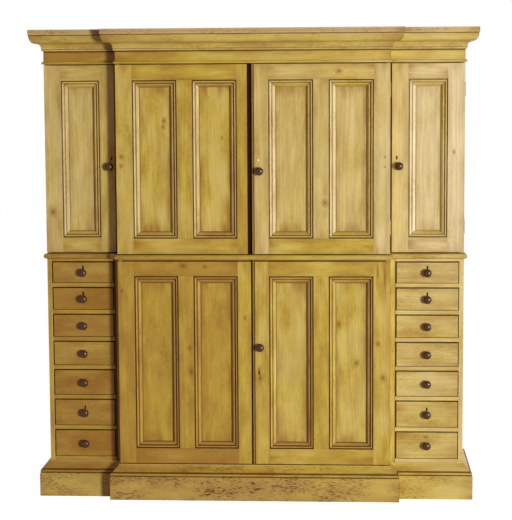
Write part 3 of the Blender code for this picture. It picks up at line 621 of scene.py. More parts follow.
def join(node, inputs):
    """Sets or links sockets of a node, given in order or by name or number."""
    for socket, value in inputs.items() if isinstance(inputs, dict) else enumerate(inputs):
        if isinstance(value, bpy.types.NodeSocket):
            node.id_data.links.new(value, node.inputs[socket])
        else:
            node.inputs[socket].default_value = value


def add(tree, kind, inputs=(), **settings):
    """Adds one node with its settings, joins its inputs and gives the first of its outputs in use."""
    node = tree.nodes.new("ShaderNode" + kind)
    for name, value in settings.items():
        setattr(node, name, value)
    join(node, inputs)
    return next((output for output in node.outputs if output.enabled), None)


def blank_material(name):
    """An empty node material, what puts a node into it, and its shader."""
    made = bpy.data.materials.new(name)
    made.use_nodes = True
    tree = made.node_tree
    return made, partial(add, tree), tree.nodes["Principled BSDF"]


def pine(name, pale, deep, waxed, grime_and_shade, roughness, coat, mellow=1.0):
    """Sawn pine under old wax. Faint year rings from the grain attribute, fine fibres and clouds along the
    board, brown stains as strong as mellow, scuffs and dents, knots that push the rings aside, dark wax in
    corners, at some edges painted shade, and pale rubbed arrises, on lit mouldings painted highlight."""
    if name in bpy.data.materials:
        return bpy.data.materials[name]
    colours = bpy.context.scene.cupboard_colours
    ring_width = bpy.context.scene.cupboard_sizes.ring_width
    made, put, shader = blank_material(name)
    grain, wear, soil, *knots = [
        put("Attribute", attribute_name=field).node.outputs["Vector"] for field in FIELDS
    ]
    wear, soil = [put("SeparateXYZ", (parts,)).node.outputs for parts in (wear, soil)]
    knot, *others = [put("VectorMath", (place,), operation="LENGTH") for place in knots]
    for other in others:
        knot = put("Math", (knot, other), operation="MINIMUM")

    # Rings: the distance from the heart, bent by slow waves (170 mm across, 600 mm along) and pushed by knots
    slow = put("VectorMath", (grain, (6, 6, 1.7)), operation="MULTIPLY")
    bend = put("TexNoise", {"Vector": slow, "Scale": 1.0, "Detail": 3.0}).node.outputs["Color"]
    bend = put("VectorMath", (bend, (0.02, 0.02, 0)), operation="MULTIPLY")
    bent = put("VectorMath", (grain, bend), operation="ADD")
    flat = put("VectorMath", (bent, (1, 1, 0)), operation="MULTIPLY")
    radius = put("VectorMath", (flat,), operation="LENGTH")
    push = put("MapRange", (knot, 0.6, 4.0, 0.010, 0.0), interpolation_type="SMOOTHSTEP")
    radius = put("Math", (radius, push), operation="ADD")
    year = put("Math", (radius, ring_width), operation="DIVIDE")
    year = put("Math", (year,), operation="FRACT")
    rise = put("MapRange", (year, 0.30, 0.88), interpolation_type="SMOOTHSTEP")
    fall = put("MapRange", (year, 0.90, 1.0, 1.0, 0.0))
    late = put("Math", (rise, fall), operation="MULTIPLY")

    # Fibres 4 mm wide and 140 mm long, coarser than real ones so that they show; clouds of 90 mm, drawn out to
    # 220 mm; stains of 45 mm, drawn out to 180 mm; scuffs of 5 mm, drawn out to 20 mm
    fibre, cloud, stain, scuff = [
        put("TexNoise", {
            "Vector": put("VectorMath", (grain, scale), operation="MULTIPLY"), "Scale": 1.0, "Detail": detail,
            "Roughness": share,
        })
        for scale, detail, share in (
            ((250, 250, 7), 4.0, 0.65), ((11, 11, 4.5), 4.0, 0.6), ((22, 22, 5.5), 3.0, 0.5),
            ((190, 190, 50), 3.0, 0.6),
        )
    ]

    # Wood: pale to deep by the clouds and the board's tone, which on some boards also holds painted shade and
    # sheen, waxed where that is darkest, then browned by late wood and by stains that show most in dark boards,
    # and lit or darkened by its fibres
    tone = put("MapRange", (cloud, 0.30, 0.70, -0.17, 0.14))
    tone = put("Math", (tone, wear["Z"]), operation="ADD")
    rich = put("MapRange", (tone, -0.9, -0.4, 1.0, 0.0))
    tone = put("Math", (tone, 0.5), operation="ADD", use_clamp=True)
    rings = put("Math", (late, 0.16 * mellow), operation="MULTIPLY")
    brown = put("MapRange", (stain, 0.38, 0.82, 0.0, 0.36 * mellow))
    strong = put("MapRange", (tone, 0.1, 0.8, 1.5, 0.55))
    brown = put("Math", (brown, strong), operation="MULTIPLY")
    wood = (*deep, 1)
    for share, colour in ((tone, pale), (rich, waxed), (rings, colours.late), (brown, colours.late)):
        wood = put("Mix", {0: share, 6: wood, 7: (*colour, 1)}, data_type="RGBA")
    light = put("MapRange", (fibre, 0.25, 0.75, 0.92, 1.07))
    wood = put("VectorMath", {0: wood, 3: light}, operation="SCALE")

    # Arrises rubbed pale over 3 mm; on the mouldings' lit sides this is also painted highlight
    rub_and_highlight = put("MapRange", (soil["Z"], 0.0005, 0.0032, 0.45, 0.0))

    # Scuffs, gathered where the clouds are dark
    scuff = put("Math", (cloud, -0.7, scuff), operation="MULTIPLY_ADD")
    scuff = put("MapRange", (scuff, 0.20, 0.30, 0.0, 0.9))
    scuff = put("Math", (scuff, soil["Y"]), operation="MULTIPLY")

    # Dents: dark specks of 1 to 5 mm in some cells of 26 mm, drawn out along the grain
    cells = put("VectorMath", (grain, (38, 38, 26)), operation="MULTIPLY")
    dent = put("TexVoronoi", {"Vector": cells, "Scale": 1.0}).node.outputs
    size = put("SeparateColor", (dent["Color"],))
    size = put("Math", (size, soil["Y"]), operation="MULTIPLY")
    size = put("MapRange", (size, 0.60, 1.3, 0.0, 0.24))
    depth = put("Math", (size, dent["Distance"]), operation="SUBTRACT")
    dent = put("MapRange", (depth, 0.0, 0.06, 0.0, 0.5))

    # Wax: a dark line at edges and inner corners, which at gaps, under overhangs and on shaded moulding sides
    # is painted shade, and a brown haze that creeps in from the ends in patches
    line = put("MapRange", (wear["X"], 0.0006, 0.0046, 0.80, 0.0))
    stop = put("MapRange", (wear["Y"], 0.0002, 0.0030, 0.6, 0.0))
    near = put("MapRange", (wear["X"], 0.0, 0.035, 0.75, 0.0), interpolation_type="SMOOTHSTEP")
    tail = put("MapRange", (wear["Y"], 0.0, 0.075, 0.9, 0.0), interpolation_type="SMOOTHSTEP")
    haze = put("Math", (near, tail), operation="MAXIMUM")
    patch = put("MapRange", (stain, 0.35, 0.68, 0.15, 1.0))
    haze = put("Math", (haze, patch), operation="MULTIPLY")
    haze = put("Math", (haze, soil["X"]), operation="MULTIPLY")
    dirt = put("Math", (line, stop), operation="MAXIMUM")
    dirt = put("Math", (dirt, dent), operation="MAXIMUM")
    dirt = put("Math", (dirt, grime_and_shade), operation="MULTIPLY", use_clamp=True)

    # Knots: a dark heart with a brown halo
    core = put("MapRange", (knot, 0.2, 1.2, 0.58, 0.0), interpolation_type="SMOOTHSTEP")
    halo = put("MapRange", (knot, 0.8, 2.8, 0.45, 0.0), interpolation_type="SMOOTHSTEP")

    # All of these lie over the wood in the order in which they came to it, with the knots on top
    for share, colour in (
        (rub_and_highlight, colours.straw), (scuff, colours.scuff), (haze, colours.late), (dirt, colours.wax),
        (halo, colours.late), (core, colours.knot),
    ):
        wood = put("Mix", {0: share, 6: wood, 7: (*colour, 1)}, data_type="RGBA")

    # A waxed face is smoother than its fibres and its dirt; late wood stands a little proud of early wood
    rough = put("MapRange", (fibre, 0.2, 0.8, roughness + 0.08, roughness - 0.06))
    rough = put("Math", (dirt, 0.15, rough), operation="MULTIPLY_ADD")
    height = put("Math", (late, 0.3, fibre), operation="MULTIPLY_ADD")
    height = put("Math", (dent, -0.9, height), operation="MULTIPLY_ADD")
    bump = put("Bump", {"Height": height, "Strength": 0.3, "Distance": 0.0006})
    join(shader, {
        "Base Color": wood, "Roughness": rough, "Normal": bump, "IOR": 1.48, "Specular IOR Level": 0.05,
        "Coat Roughness": 0.3, "Coat Weight": coat,
    })
    if coat:
        join(shader, {"Coat Weight": put("Math", (dirt, -coat, coat), operation="MULTIPLY_ADD")})
    return made


def waxed_pine():
    """Waxed and worn pine of the frames: a soft sheen, honey to straw, with dark wax in the corners."""
    colours = bpy.context.scene.cupboard_colours
    return pine("Waxed pine", colours.straw, colours.honey, colours.amber, 1.0, 0.45, 0.35)


def drawer_pine():
    """Waxed pine of the drawers: redder than the frames where the wax lies thick."""
    colours = bpy.context.scene.cupboard_colours
    return pine("Waxed drawer pine", colours.straw, colours.drawer, colours.russet, 1.0, 0.45, 0.35)


def bare_pine():
    """Bare pine inside and behind: dull, dry and evenly browned, with little wax."""
    colours = bpy.context.scene.cupboard_colours
    return pine("Bare pine", colours.bare, colours.honey, colours.amber, 0.6, 0.68, 0.0)


def gap_shade_pine():
    """Pine of the strips at the meeting edges: dull, and painted near black as the shade in the gap between
    the doors.
    """
    colours = bpy.context.scene.cupboard_colours
    return pine("Wax blackened pine", colours.black, colours.black, colours.black, 1.0, 0.6, 0.0, 0.05)


def turned_wood():
    """Dark turned hardwood, polished by hands: brown streaks 4 mm wide and 17 mm long on near black, coarser
    than real pores so that they show, under a soft gloss."""
    if "Dark turned wood" in bpy.data.materials:
        return bpy.data.materials["Dark turned wood"]
    colours = bpy.context.scene.cupboard_colours
    made, put, shader = blank_material("Dark turned wood")
    grain = put("Attribute", attribute_name="grain").node.outputs["Vector"]
    fine = put("VectorMath", (grain, (240, 60, 60)), operation="MULTIPLY")
    fibre = put("TexNoise", {"Vector": fine, "Scale": 1.0, "Detail": 4.0})
    dark = tuple(0.35 * part for part in colours.turned)
    share = put("MapRange", (fibre, 0.3, 0.7))
    wood = put("Mix", {0: share, 6: (*dark, 1), 7: (*colours.turned, 1)}, data_type="RGBA")
    rough = put("MapRange", (fibre, 0.3, 0.7, 0.34, 0.26))
    bump = put("Bump", {"Height": fibre, "Strength": 0.2, "Distance": 0.0003})
    join(shader, {
        "Base Color": wood, "Roughness": rough, "Normal": bump, "IOR": 1.5, "Specular IOR Level": 0.5,
        "Specular Tint": (*linear("#FFDCB8"), 1),
    })
    return made


def metal(name, colour, roughness, metallic, dull):
    """A small fitting: a plain body with darker and rougher blotches 8 mm across."""
    if name in bpy.data.materials:
        return bpy.data.materials[name]
    made, put, shader = blank_material(name)
    place = put("TexCoord").node.outputs["Object"]
    blotch = put("TexNoise", {"Vector": place, "Scale": 120.0, "Detail": 4.0})
    share = put("MapRange", (blotch, 0.35, 0.70))
    dark = tuple(dull * part for part in colour)
    tint = put("Mix", {0: share, 6: (*colour, 1), 7: (*dark, 1)}, data_type="RGBA")
    rough = put("MapRange", (blotch, 0.3, 0.7, roughness, roughness + 0.2))
    bump = put("Bump", {"Height": blotch, "Strength": 0.15, "Distance": 0.0002})
    join(shader, {"Base Color": tint, "Roughness": rough, "Normal": bump, "Metallic": metallic})
    return made


def aged_brass():
    """Old brass of the hinges: dull gold, browned in patches."""
    return metal("Aged brass", bpy.context.scene.cupboard_colours.brass, 0.36, 1.0, 0.45)


def old_bone():
    """Bone of the keyhole's plug: pale, with a few yellowed patches."""
    return metal("Old bone", bpy.context.scene.cupboard_colours.bone, 0.45, 0.0, 0.75)


class BuildPlinth(bpy.types.Operator):
    """Builds the plinth: boards on edge, a splayed moulding over a bead, a ledge and a back rail"""

    bl_idname = "cupboard.plinth"
    bl_label = "Plinth"

    def execute(self, context):
        sizes = context.scene.cupboard_sizes
        inner = PLINTH_REACH - PLINTH_BOARD
        outline, corners, arris = section([
            (inner, 0.0), (PLINTH_REACH - 0.001, 0.0), (PLINTH_REACH, 0.001),
            (PLINTH_REACH, PLINTH_TOP - 0.0015), (PLINTH_REACH - 0.0015, PLINTH_TOP), (inner, PLINTH_TOP),
        ])
        face = (outline, corners, np.full_like(arris, FADED))
        ledge = section([
            (-SIDE_BOARD, PLINTH_TOP - PLINTH_BOARD), (inner, PLINTH_TOP - PLINTH_BOARD), (inner, PLINTH_TOP),
            (-SIDE_BOARD, PLINTH_TOP),
        ])
        splay = section(
            [(FIT, PLINTH_TOP), (PLINTH_REACH - 0.008, PLINTH_TOP)],
            rounded((PLINTH_REACH - 0.0105, PLINTH_TOP + 0.0095), (0.0085, 0.0085), -70, 80, 12),
            [(0.0335, 0.1420), (0.0300, 0.1460), (0.0260, 0.1500), (0.0215, 0.1545), (0.0170, 0.1590)],
            [(0.0130, 0.1635), (0.0100, 0.1680), (0.0080, 0.1720), (0.0070, PLINTH_MOULDING_TOP)],
            [(FIT, PLINTH_MOULDING_TOP)],
        )
        timbers = runs(face, (-0.62, -0.86, -0.38), 0.5, (0.6, 1.1, 0.35)) + runs(ledge)
        timbers += runs(splay, (-0.9, -0.6, -0.3), 0.5, (0.2, 0.7, 0.2), 0.003)
        end = SIDE_X + inner - FIT
        rail = ((-end, BACK_Y - BACK_RAIL, RAIL_GAP), (end, BACK_Y - RAIL_GAP, PLINTH_TOP - RAIL_GAP))
        timbers.append(board(*rail, 0, sizes.board_ease))
        piece("plinth_joinery", "case", timbers, waxed_pine(), ["plinth"])
        return {"FINISHED"}


class BuildWaist(bpy.types.Operator):
    """Builds the base's top board with a round nose along the front and the sides"""

    bl_idname = "cupboard.waist"
    bl_label = "Waist board"

    def execute(self, context):
        half = (WAIST[1] - WAIST[0]) / 2
        middle = (WAIST[1] + WAIST[0]) / 2
        lap = -2 * SIDE_BOARD
        nose = section(
            rounded((WAIST_REACH - half, middle), (half, half), -90, 90, 14),
            [(lap, WAIST[1]), (lap, WAIST[0])],
        )
        side = SIDE_X + lap
        timbers = runs(nose, (-0.85, -0.70, -0.1), 0.4, 0.4)
        for low, high in ((WING_Y - lap, 0.0), (0.0, WAIST_JOINT), (WAIST_JOINT, BACK_Y)):
            timbers.append(board((-side, low, WAIST[0]), (side, high, WAIST[1]), 0, THIN_EASE))
        front = ((lap - CENTRE_X, CENTRE_Y - lap, WAIST[0]), (CENTRE_X + lap, WING_Y - lap, WAIST[1]))
        timbers.append(board(*front, 0, THIN_EASE))
        piece("waist_joinery", "case", timbers, waxed_pine(), ["waist_top"])
        return {"FINISHED"}


class BuildCornice(bpy.types.Operator):
    """Builds the cornice: a frieze over a bead, a cove and an ovolo under a top fillet, and a frame inside"""

    bl_idname = "cupboard.cornice"
    bl_label = "Cornice"

    def execute(self, context):
        sizes = context.scene.cupboard_sizes
        foot = CORNICE_BOTTOM - CROWN_DROP
        outline, outer = section([
            (-SIDE_BOARD, FRIEZE_BOTTOM), (0.0, FRIEZE_BOTTOM), (0.0, foot - 0.0045), (0.0, foot),
            (0.0, CORNICE_BOTTOM), (-SIDE_BOARD, CORNICE_BOTTOM),
        ])[::2]
        # The frieze darkens along its top under the crown's foot, more so with its wide soak: painted shade
        frieze = (outline, np.where(outline[:, 0] < -FIT, FAR, np.abs(outline[:, 1] - foot)), outer)
        bead = section(
            [(0.0, FRIEZE_BOTTOM)], rounded((0.002, FRIEZE_BOTTOM + 0.0065), (0.007, 0.0065), -90, 90, 12),
            [(0.0, FRIEZE_BOTTOM + 0.013)],
        )
        shoulder = TOTAL_HEIGHT - FILLET_HEIGHT
        outline, inner, outer = section(
            [(FIT, foot), (0.008, foot), (0.008, foot + 0.010)],
            [(0.010, foot + 0.010)],
            rounded((0.030, foot + 0.015), (0.020, 0.021), 180, 90, 10),
            rounded((0.036, shoulder - 0.002), (0.026, shoulder - 0.038 - foot), -90, 0, 12),
            [(CORNICE_REACH - 0.003, shoulder), (FILLET_BACK, shoulder)],
            [(-SIDE_BOARD, CORNICE_BOTTOM + 0.025)],
            [(-SIDE_BOARD, CORNICE_BOTTOM), (FIT, CORNICE_BOTTOM)],
        )
        # Painted shade on the crown just under the overhanging fillet
        reach, wax = FILLET_SHADE
        under = np.where(outline[:, 0] > reach, np.abs(outline[:, 1] - shoulder) - wax, FAR)
        crown = (outline, np.minimum(inner, under), np.minimum(outer, FADED))
        outline, inner, outer = section([
            (FILLET_BACK, shoulder), (CORNICE_REACH, shoulder), (CORNICE_REACH, TOTAL_HEIGHT - 0.001),
            (CORNICE_REACH - 0.001, TOTAL_HEIGHT), (FILLET_BACK, TOTAL_HEIGHT),
        ])
        fillet = (outline, inner, np.minimum(outer, DUSTY))
        lap, rise = CORNICE_LEDGE
        ledge = section([
            (-lap, FRIEZE_BOTTOM), (-SIDE_BOARD, FRIEZE_BOTTOM), (-SIDE_BOARD, FRIEZE_BOTTOM + rise),
            (-lap, FRIEZE_BOTTOM + rise),
        ])
        timbers = runs(frieze, (-1.02, -0.31, -0.28), 0.6, 0.1, 0.005)
        timbers += runs(bead, (-0.7, -0.4, -0.1), 0.6, 0.2, 0.003)
        timbers += runs(crown, (-0.55, -0.50, -0.32), 0.5, 0.3, -0.0006) + runs(ledge)
        timbers += runs(fillet, (-0.9, -0.95, -0.7), 0.7, 0.4)
        end = SIDE_X - lap - FIT
        low = (-end, BACK_Y - BACK_RAIL, FRIEZE_BOTTOM)
        timbers.append(board(low, (end, BACK_Y - RAIL_GAP, CORNICE_BOTTOM), 0, sizes.board_ease))
        piece("cornice_joinery", "case", timbers, waxed_pine(), ["cornice"])
        return {"FINISHED"}


def carcase(heights, fronts, floors, ease, tuck):
    """Upright boards of one stage: two sides rebated for the back, and a partition of two boards beside each
    wing; then floors and tops as (low z, high z) between them in the middle. Wax and the painted shade of the
    gaps darken the front edges that doors close on, and tuck is how far this reaches on the left and right
    partitions; the left partition gets painted shade where it lies in the middle's shadow."""
    low, high = heights
    wing_front, centre_front = fronts
    rebate = BACK_Y - BACK_BOARD - FIT
    timbers = []
    for side, hidden in zip((-1, 1), tuck):
        outer, inner, lip = side * SIDE_X, side * WING_INSIDE[1], side * (SIDE_X - SIDE_BOARD / 2)
        shape = section([
            (inner, wing_front), (outer, wing_front), (outer, BACK_Y), (lip, BACK_Y), (lip, rebate),
            (inner, rebate),
        ])
        ends = [np.concatenate([shape[0], np.full((len(shape[0]), 1), z)], 1) for z in (low, high)]
        timbers.append(stick(*ends, shape, 2, np.polyval(SIDE_TONE, side), 0.3))
        middle = side * CENTRE_X
        near = ((side * CENTRE_INSIDE, centre_front, low), (middle, rebate, high))
        timbers.append(board(*near, 2, ease, haze=0.3))
        far = ((middle, wing_front, low), (side * WING_INSIDE[0], rebate, high))
        timbers.append(board(*far, 2, ease, np.polyval(PARTITION_TONE, side), 0.3, tuck=hidden))
    for bottom, top in floors:
        split = (wing_front + rebate) / 2
        for back, front in ((rebate, split), (split, centre_front)):
            corners = ((-CENTRE_INSIDE, front, bottom), (CENTRE_INSIDE, back, top))
            timbers.append(board(*corners, 0, ease, haze=0.4, tuck=REBATE_WAX_AND_SHADE))
    return timbers


class BuildCarcases(bpy.types.Operator):
    """Builds the two carcases, their planked backs and the loose shelves"""

    bl_idname = "cupboard.carcases"
    bl_label = "Carcases"

    def execute(self, context):
        ease = context.scene.cupboard_sizes.board_ease
        rebate = BACK_Y - BACK_BOARD - FIT
        floors = [(LOWER_FLOOR - SIDE_BOARD, LOWER_FLOOR), (LOWER_HEAD, WAIST[0] - FIT)]
        fronts = (WING_Y, CENTRE_Y + CARCASE_SETBACK)
        # The lower left partition's front edge lies in the middle's shadow and gets painted shade
        lower = carcase((PLINTH_TOP + FIT, WAIST[0] - FIT), fronts, floors, ease, (PAINTED_SHADE_REACH, 0.0))
        spaces = [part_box(f"drawer_right_{number}") for number in DRAWERS]
        feet = [low.z - FIT for low, high in spaces]
        heads = [high.z + DRAWER_TOP_GAP + DRAWER_RISE for low, high in spaces]
        rails = [(LOWER_FLOOR - SIDE_BOARD, feet[-1]), (heads[0], WAIST[0] - FIT), *zip(heads[1:], feet)]
        skirt = (PLINTH_TOP + FIT, LOWER_FLOOR - SIDE_BOARD)
        ledge = CENTRE_Y + CARCASE_SETBACK + SIDE_BOARD / 2
        lower.append(board((-CENTRE_X, CENTRE_Y, skirt[0]), (CENTRE_X, ledge, skirt[1]), 0, ease))
        low = (-WING_INSIDE[1], BACK_Y - SIDE_BOARD, skirt[0])
        lower.append(board(low, (WING_INSIDE[1], BACK_Y - FIT, skirt[1]), 0, ease))
        for side in (-1, 1):
            for bottom, top in rails:
                low = (side * WING_INSIDE[0], WING_Y, bottom)
                tone = np.polyval(RAIL_TONE, side)
                lower.append(board(low, (side * WING_INSIDE[1], rebate, top), 0, ease, tone, 0.2, 0.1, TIGHT))
            low = (side * CENTRE_X, WING_Y, skirt[0])
            lower.append(board(low, (side * WING_INSIDE[1], WING_Y + SIDE_BOARD, skirt[1]), 0, ease))
        piece("lower_carcase_joinery", "case", lower, waxed_pine(), ["lower_carcase"])

        floors = [(WAIST[1] + FIT, UPPER_FLOOR), (UPPER_HEAD, FRIEZE_BOTTOM - FIT)]
        fronts = (WING_Y + CARCASE_SETBACK, CENTRE_Y + CARCASE_SETBACK)
        upper = carcase((WAIST[1] + FIT, FRIEZE_BOTTOM - FIT), fronts, floors, ease, (REBATE_WAX_AND_SHADE, REBATE_WAX_AND_SHADE))
        for side in (-1, 1):
            for bottom, top in floors + [(z, z + SHELF_BOARD) for z in WING_SHELVES]:
                low, high = (side * WING_INSIDE[0], fronts[0], bottom), (side * WING_INSIDE[1], rebate, top)
                upper.append(board(low, high, 0, ease, haze=0.4, tuck=REBATE_WAX_AND_SHADE))
        piece("upper_carcase_joinery", "case", upper, waxed_pine(), ["upper_carcase"])

        for word in ("lower", "upper"):
            low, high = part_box(f"{word}_back")
            cuts = np.linspace(low.x, high.x, BACK_PLANKS + 1)
            cuts[1:-1] += chance.uniform(-PLANK_SWAY, PLANK_SWAY, BACK_PLANKS - 1)
            planks = [
                board((left, low.y, low.z), (right, high.y, high.z), 2, PLANK_EASE, haze=0.3)
                for left, right in zip(cuts, cuts[1:])
            ]
            piece(f"{word}_back_planks", "case", planks, bare_pine(), [f"{word}_back"])
        for node in ("shelf_lower", "shelf_upper_1", "shelf_upper_2"):
            low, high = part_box(node)
            split = low.y + (high.y - low.y) * SHELF_SPLIT
            planks = [
                board(low, (high.x, split, high.z), 0, ease, haze=0.4),
                board((low.x, split, low.z), high, 0, ease, haze=0.4),
            ]
            piece(f"{node}_planks", "case", planks, bare_pine(), [node])
        return {"FINISHED"}


def framed_door(node, panels, ease, gaps, left_edge=None, right_edge=None):
    """A framed door in its node's box: two upright stiles, rails and a muntin between them, and a sunk board
    with a mitred moulding in each opening; gaps are those under and over it."""
    tone, stiles, rails, field, moulding, lit, soak, haze, marks = DOOR_LOOKS[node]
    low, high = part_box(node)
    low.z += gaps[0]
    high.z -= gaps[1]
    back = high.y
    left_edge = low.x if left_edge is None else left_edge
    right_edge = high.x if right_edge is None else right_edge
    sill, head = low.z + DOOR_RAIL - gaps[0], high.z - DOOR_RAIL + gaps[1]
    panels = sorted(panels)
    first, last = panels[0][0], panels[-1][1]
    key = DOOR_KEYHOLES.get(node)
    timbers = []
    for left, right, more in ((left_edge, first, stiles[0]), (last, right_edge, stiles[1])):
        hole = key if key and left < key[0] < right else None
        corners = ((left, low.y, low.z), (right, back, high.z))
        timbers.append(board(*corners, 2, ease, tone + more, 0.5, marks, TIGHT, hole))
    for bottom, top, more in ((low.z, sill, rails[0]), (head, high.z, rails[1])):
        corners = ((first, low.y, bottom), (last, back, top))
        timbers.append(board(*corners, 0, ease, tone + more, 0.7, marks, TIGHT))
    for (_, left), (right, _) in zip(panels, panels[1:]):
        timbers.append(board((left, low.y, sill), (right, back, head), 2, ease, tone, 0.5, marks, TIGHT))
    for left, right in panels:
        corners = ((left, low.y + PANEL_FRONT, sill), (right, low.y + PANEL_BACK, head))
        timbers.append(board(*corners, 2, THIN_EASE, tone + field, haze, marks, PANEL_MOULDING))
        timbers += panel_moulding(left, right, sill, head, low.y, tone + moulding, soak, lit)
    return timbers


class BuildDoors(bpy.types.Operator):
    """Builds the six framed doors, the bead at each meeting edge, and the strip that it closes on, painted
    dark as the shade of the gap
    """

    bl_idname = "cupboard.doors"
    bl_label = "Doors"

    def execute(self, context):
        ease = context.scene.cupboard_sizes.joint_ease
        mirrored = [(-right, -left) for left, right in CENTRE_PANELS]
        for stage in ("upper", "lower"):
            left, right = f"door_{stage}_left", f"door_{stage}_right"
            edge = TONGUE_EDGE if stage == "upper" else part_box(left)[1].x - MEETING_GAP
            gaps = (DOOR_FOOT_GAP, DOOR_HEAD_GAP if stage == "upper" else LOWER_HEAD_GAP)
            timbers = framed_door(left, mirrored, ease, gaps, right_edge=edge)
            piece(f"{left}_joinery", left, timbers, waxed_pine(), [left])
            low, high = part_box(left)
            # The strip at the left door's meeting edge is painted dark as the shade in the gap
            if stage == "upper":
                strip = board((edge, low.y + TONGUE_SINK, low.z), high, 2, ease)
            else:
                corner = (edge + EDGE_SHADE_WIDTH, high.y, high.z - LOWER_HEAD_GAP)
                strip = board((edge, low.y + EDGE_SINK, low.z), corner, 2, EDGE_EASE)
            piece(f"{left}_meeting_edge", left, [strip], gap_shade_pine())
            low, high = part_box(right)
            middle, half = (low.x + BEAD_TOP) / 2, (BEAD_TOP - low.x) / 2
            bead = section(
                [(BEAD_EDGE, high.y), (low.x, high.y)],
                rounded((middle, low.y + BEAD_ROUND), (half, BEAD_ROUND), 180, 360, 10),
                [(BEAD_TOP + BEAD_QUIRK[0], low.y + BEAD_QUIRK[1]), (BEAD_EDGE, low.y + BEAD_ROUND)],
            )
            ends = [np.concatenate([bead[0], np.full((len(bead[0]), 1), z)], 1) for z in (low.z, high.z)]
            timbers = framed_door(right, CENTRE_PANELS, ease, gaps, left_edge=BEAD_EDGE)
            timbers.append(stick(*ends, bead, 2, BEAD_TONE, soak=0.003))
            piece(f"{right}_joinery", right, timbers, waxed_pine(), [right])
        for side, word in SIDES:
            node = f"door_wing_{word}"
            panel = tuple(sorted(side * x for x in WING_PANEL))
            edges = {"right_edge": -WING_EDGES[0]} if side < 0 else {"left_edge": WING_EDGES[1]}
            timbers = framed_door(node, [panel], ease, (WING_FOOT_GAP, DOOR_HEAD_GAP), **edges)
            piece(f"{node}_joinery", node, timbers, waxed_pine(), [node])
        return {"FINISHED"}


class BuildDrawers(bpy.types.Operator):
    """Builds the fourteen drawers: a front with rounded edges, sides, a back and a bottom"""

    bl_idname = "cupboard.drawers"
    bl_label = "Drawers"

    def execute(self, context):
        sizes = context.scene.cupboard_sizes
        for (_, word), number in product(SIDES, DRAWERS):
            node = f"drawer_{word}_{number}"
            low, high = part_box(node)
            left, right = low.x - DRAWER_CLEARANCE, high.x + DRAWER_CLEARANCE
            bottom, top = low.z - FIT, high.z + DRAWER_TOP_GAP
            behind = low.y + DRAWER_FRONT
            key = None
            if number in LOCKED_DRAWERS:
                key = ((left + right) / 2, (bottom + top) / 2 + DRAWER_KEY_RISE)
            face = (
                (left + sizes.drawer_gap, low.y, bottom + sizes.drawer_shut),
                (right - DRAWER_ASIDE[word], behind, top + DRAWER_RISE - sizes.drawer_gap),
            )
            tone = DRAWER_TONE[word] + chance.uniform(-DRAWER_TONE_SWAY, DRAWER_TONE_SWAY)
            timbers = [board(*face, 0, sizes.drawer_ease, tone, 0.5, 0.2, LOOSE_AND_SHADED, key)]
            near, far, back = low.x + DRAWER_SIDE, high.x - DRAWER_SIDE, high.y - DRAWER_SIDE
            for start, end, run, ease in (
                ((low.x, behind, low.z), (near, high.y, high.z), 1, DRAWER_INSIDE_EASE),
                ((far, behind, low.z), high, 1, DRAWER_INSIDE_EASE),
                ((near, back, low.z), (far, high.y, high.z), 0, DRAWER_INSIDE_EASE),
                ((near, behind, low.z), (far, back, low.z + DRAWER_BOTTOM), 0, DRAWER_BOTTOM_EASE),
            ):
                timbers.append(board(start, end, run, ease))
            piece(f"{node}_joinery", node, timbers, drawer_pine(), [node])
        return {"FINISHED"}


class BuildKnobs(bpy.types.Operator):
    """Builds the eighteen turned knobs, and the pale domed plug in the keyhole over the upper one"""

    bl_idname = "cupboard.knobs"
    bl_label = "Knobs"

    def execute(self, context):
        sides = context.scene.cupboard_sizes.knob_sides
        outline = np.concatenate([
            [(0.0004, 0.0340)],
            rounded((0.0, 0.0215), (0.0205, 0.0125), 88, -25, 22),
            [(0.0150, 0.0148), (0.0115, 0.0128), (0.0100, 0.0108), (0.0095, 0.0085), (0.0098, 0.0065)],
            [(0.0108, 0.0048), (0.0125, 0.0036), (0.0138, 0.0030), (0.0140, 0.0020), (0.0140, 0.0003)],
            [(0.0060, 0.0003), (0.0060, -0.0130)],
        ])
        owners = {"knob_upper": "door_upper_right", "knob_lower": "door_lower_right"}
        owners.update({f"knob_wing_{word}": f"door_wing_{word}" for _, word in SIDES})
        for (_, word), number in product(SIDES, DRAWERS):
            owners[f"knob_{word}_{number}"] = f"drawer_{word}_{number}"
        for node, owner in owners.items():
            low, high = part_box(node)
            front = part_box(owner)[0].y
            knob = turned(outline, ((low.x + high.x) / 2, front, (low.z + high.z) / 2), sides)
            piece(f"{node}_turning", owner, [knob], turned_wood(), [node])
        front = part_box("door_upper_right")[0].y
        swing = np.radians([0, 0, 18, 36, 54, 72, 86])[:, None]
        rise = np.sin(swing)
        rise[0] = -PLUG_SINK
        turn = np.arange(PLUG_SIDES) * 2 * pi / PLUG_SIDES
        x = PLUG_PLACE[0] + PLUG_HALF[0] * np.cos(swing) * np.cos(turn)
        z = PLUG_PLACE[1] + PLUG_HALF[1] * np.cos(swing) * np.sin(turn)
        rows = np.stack([x, np.broadcast_to(front - PLUG_RISE * rise, x.shape), z], -1)
        far = np.full(x.shape, FAR)
        plug = timber(rows, rows, far, far, far, 0.0, 0.0, 0.0)
        piece("door_upper_right_plug", "door_upper_right", [plug], old_bone())
        return {"FINISHED"}


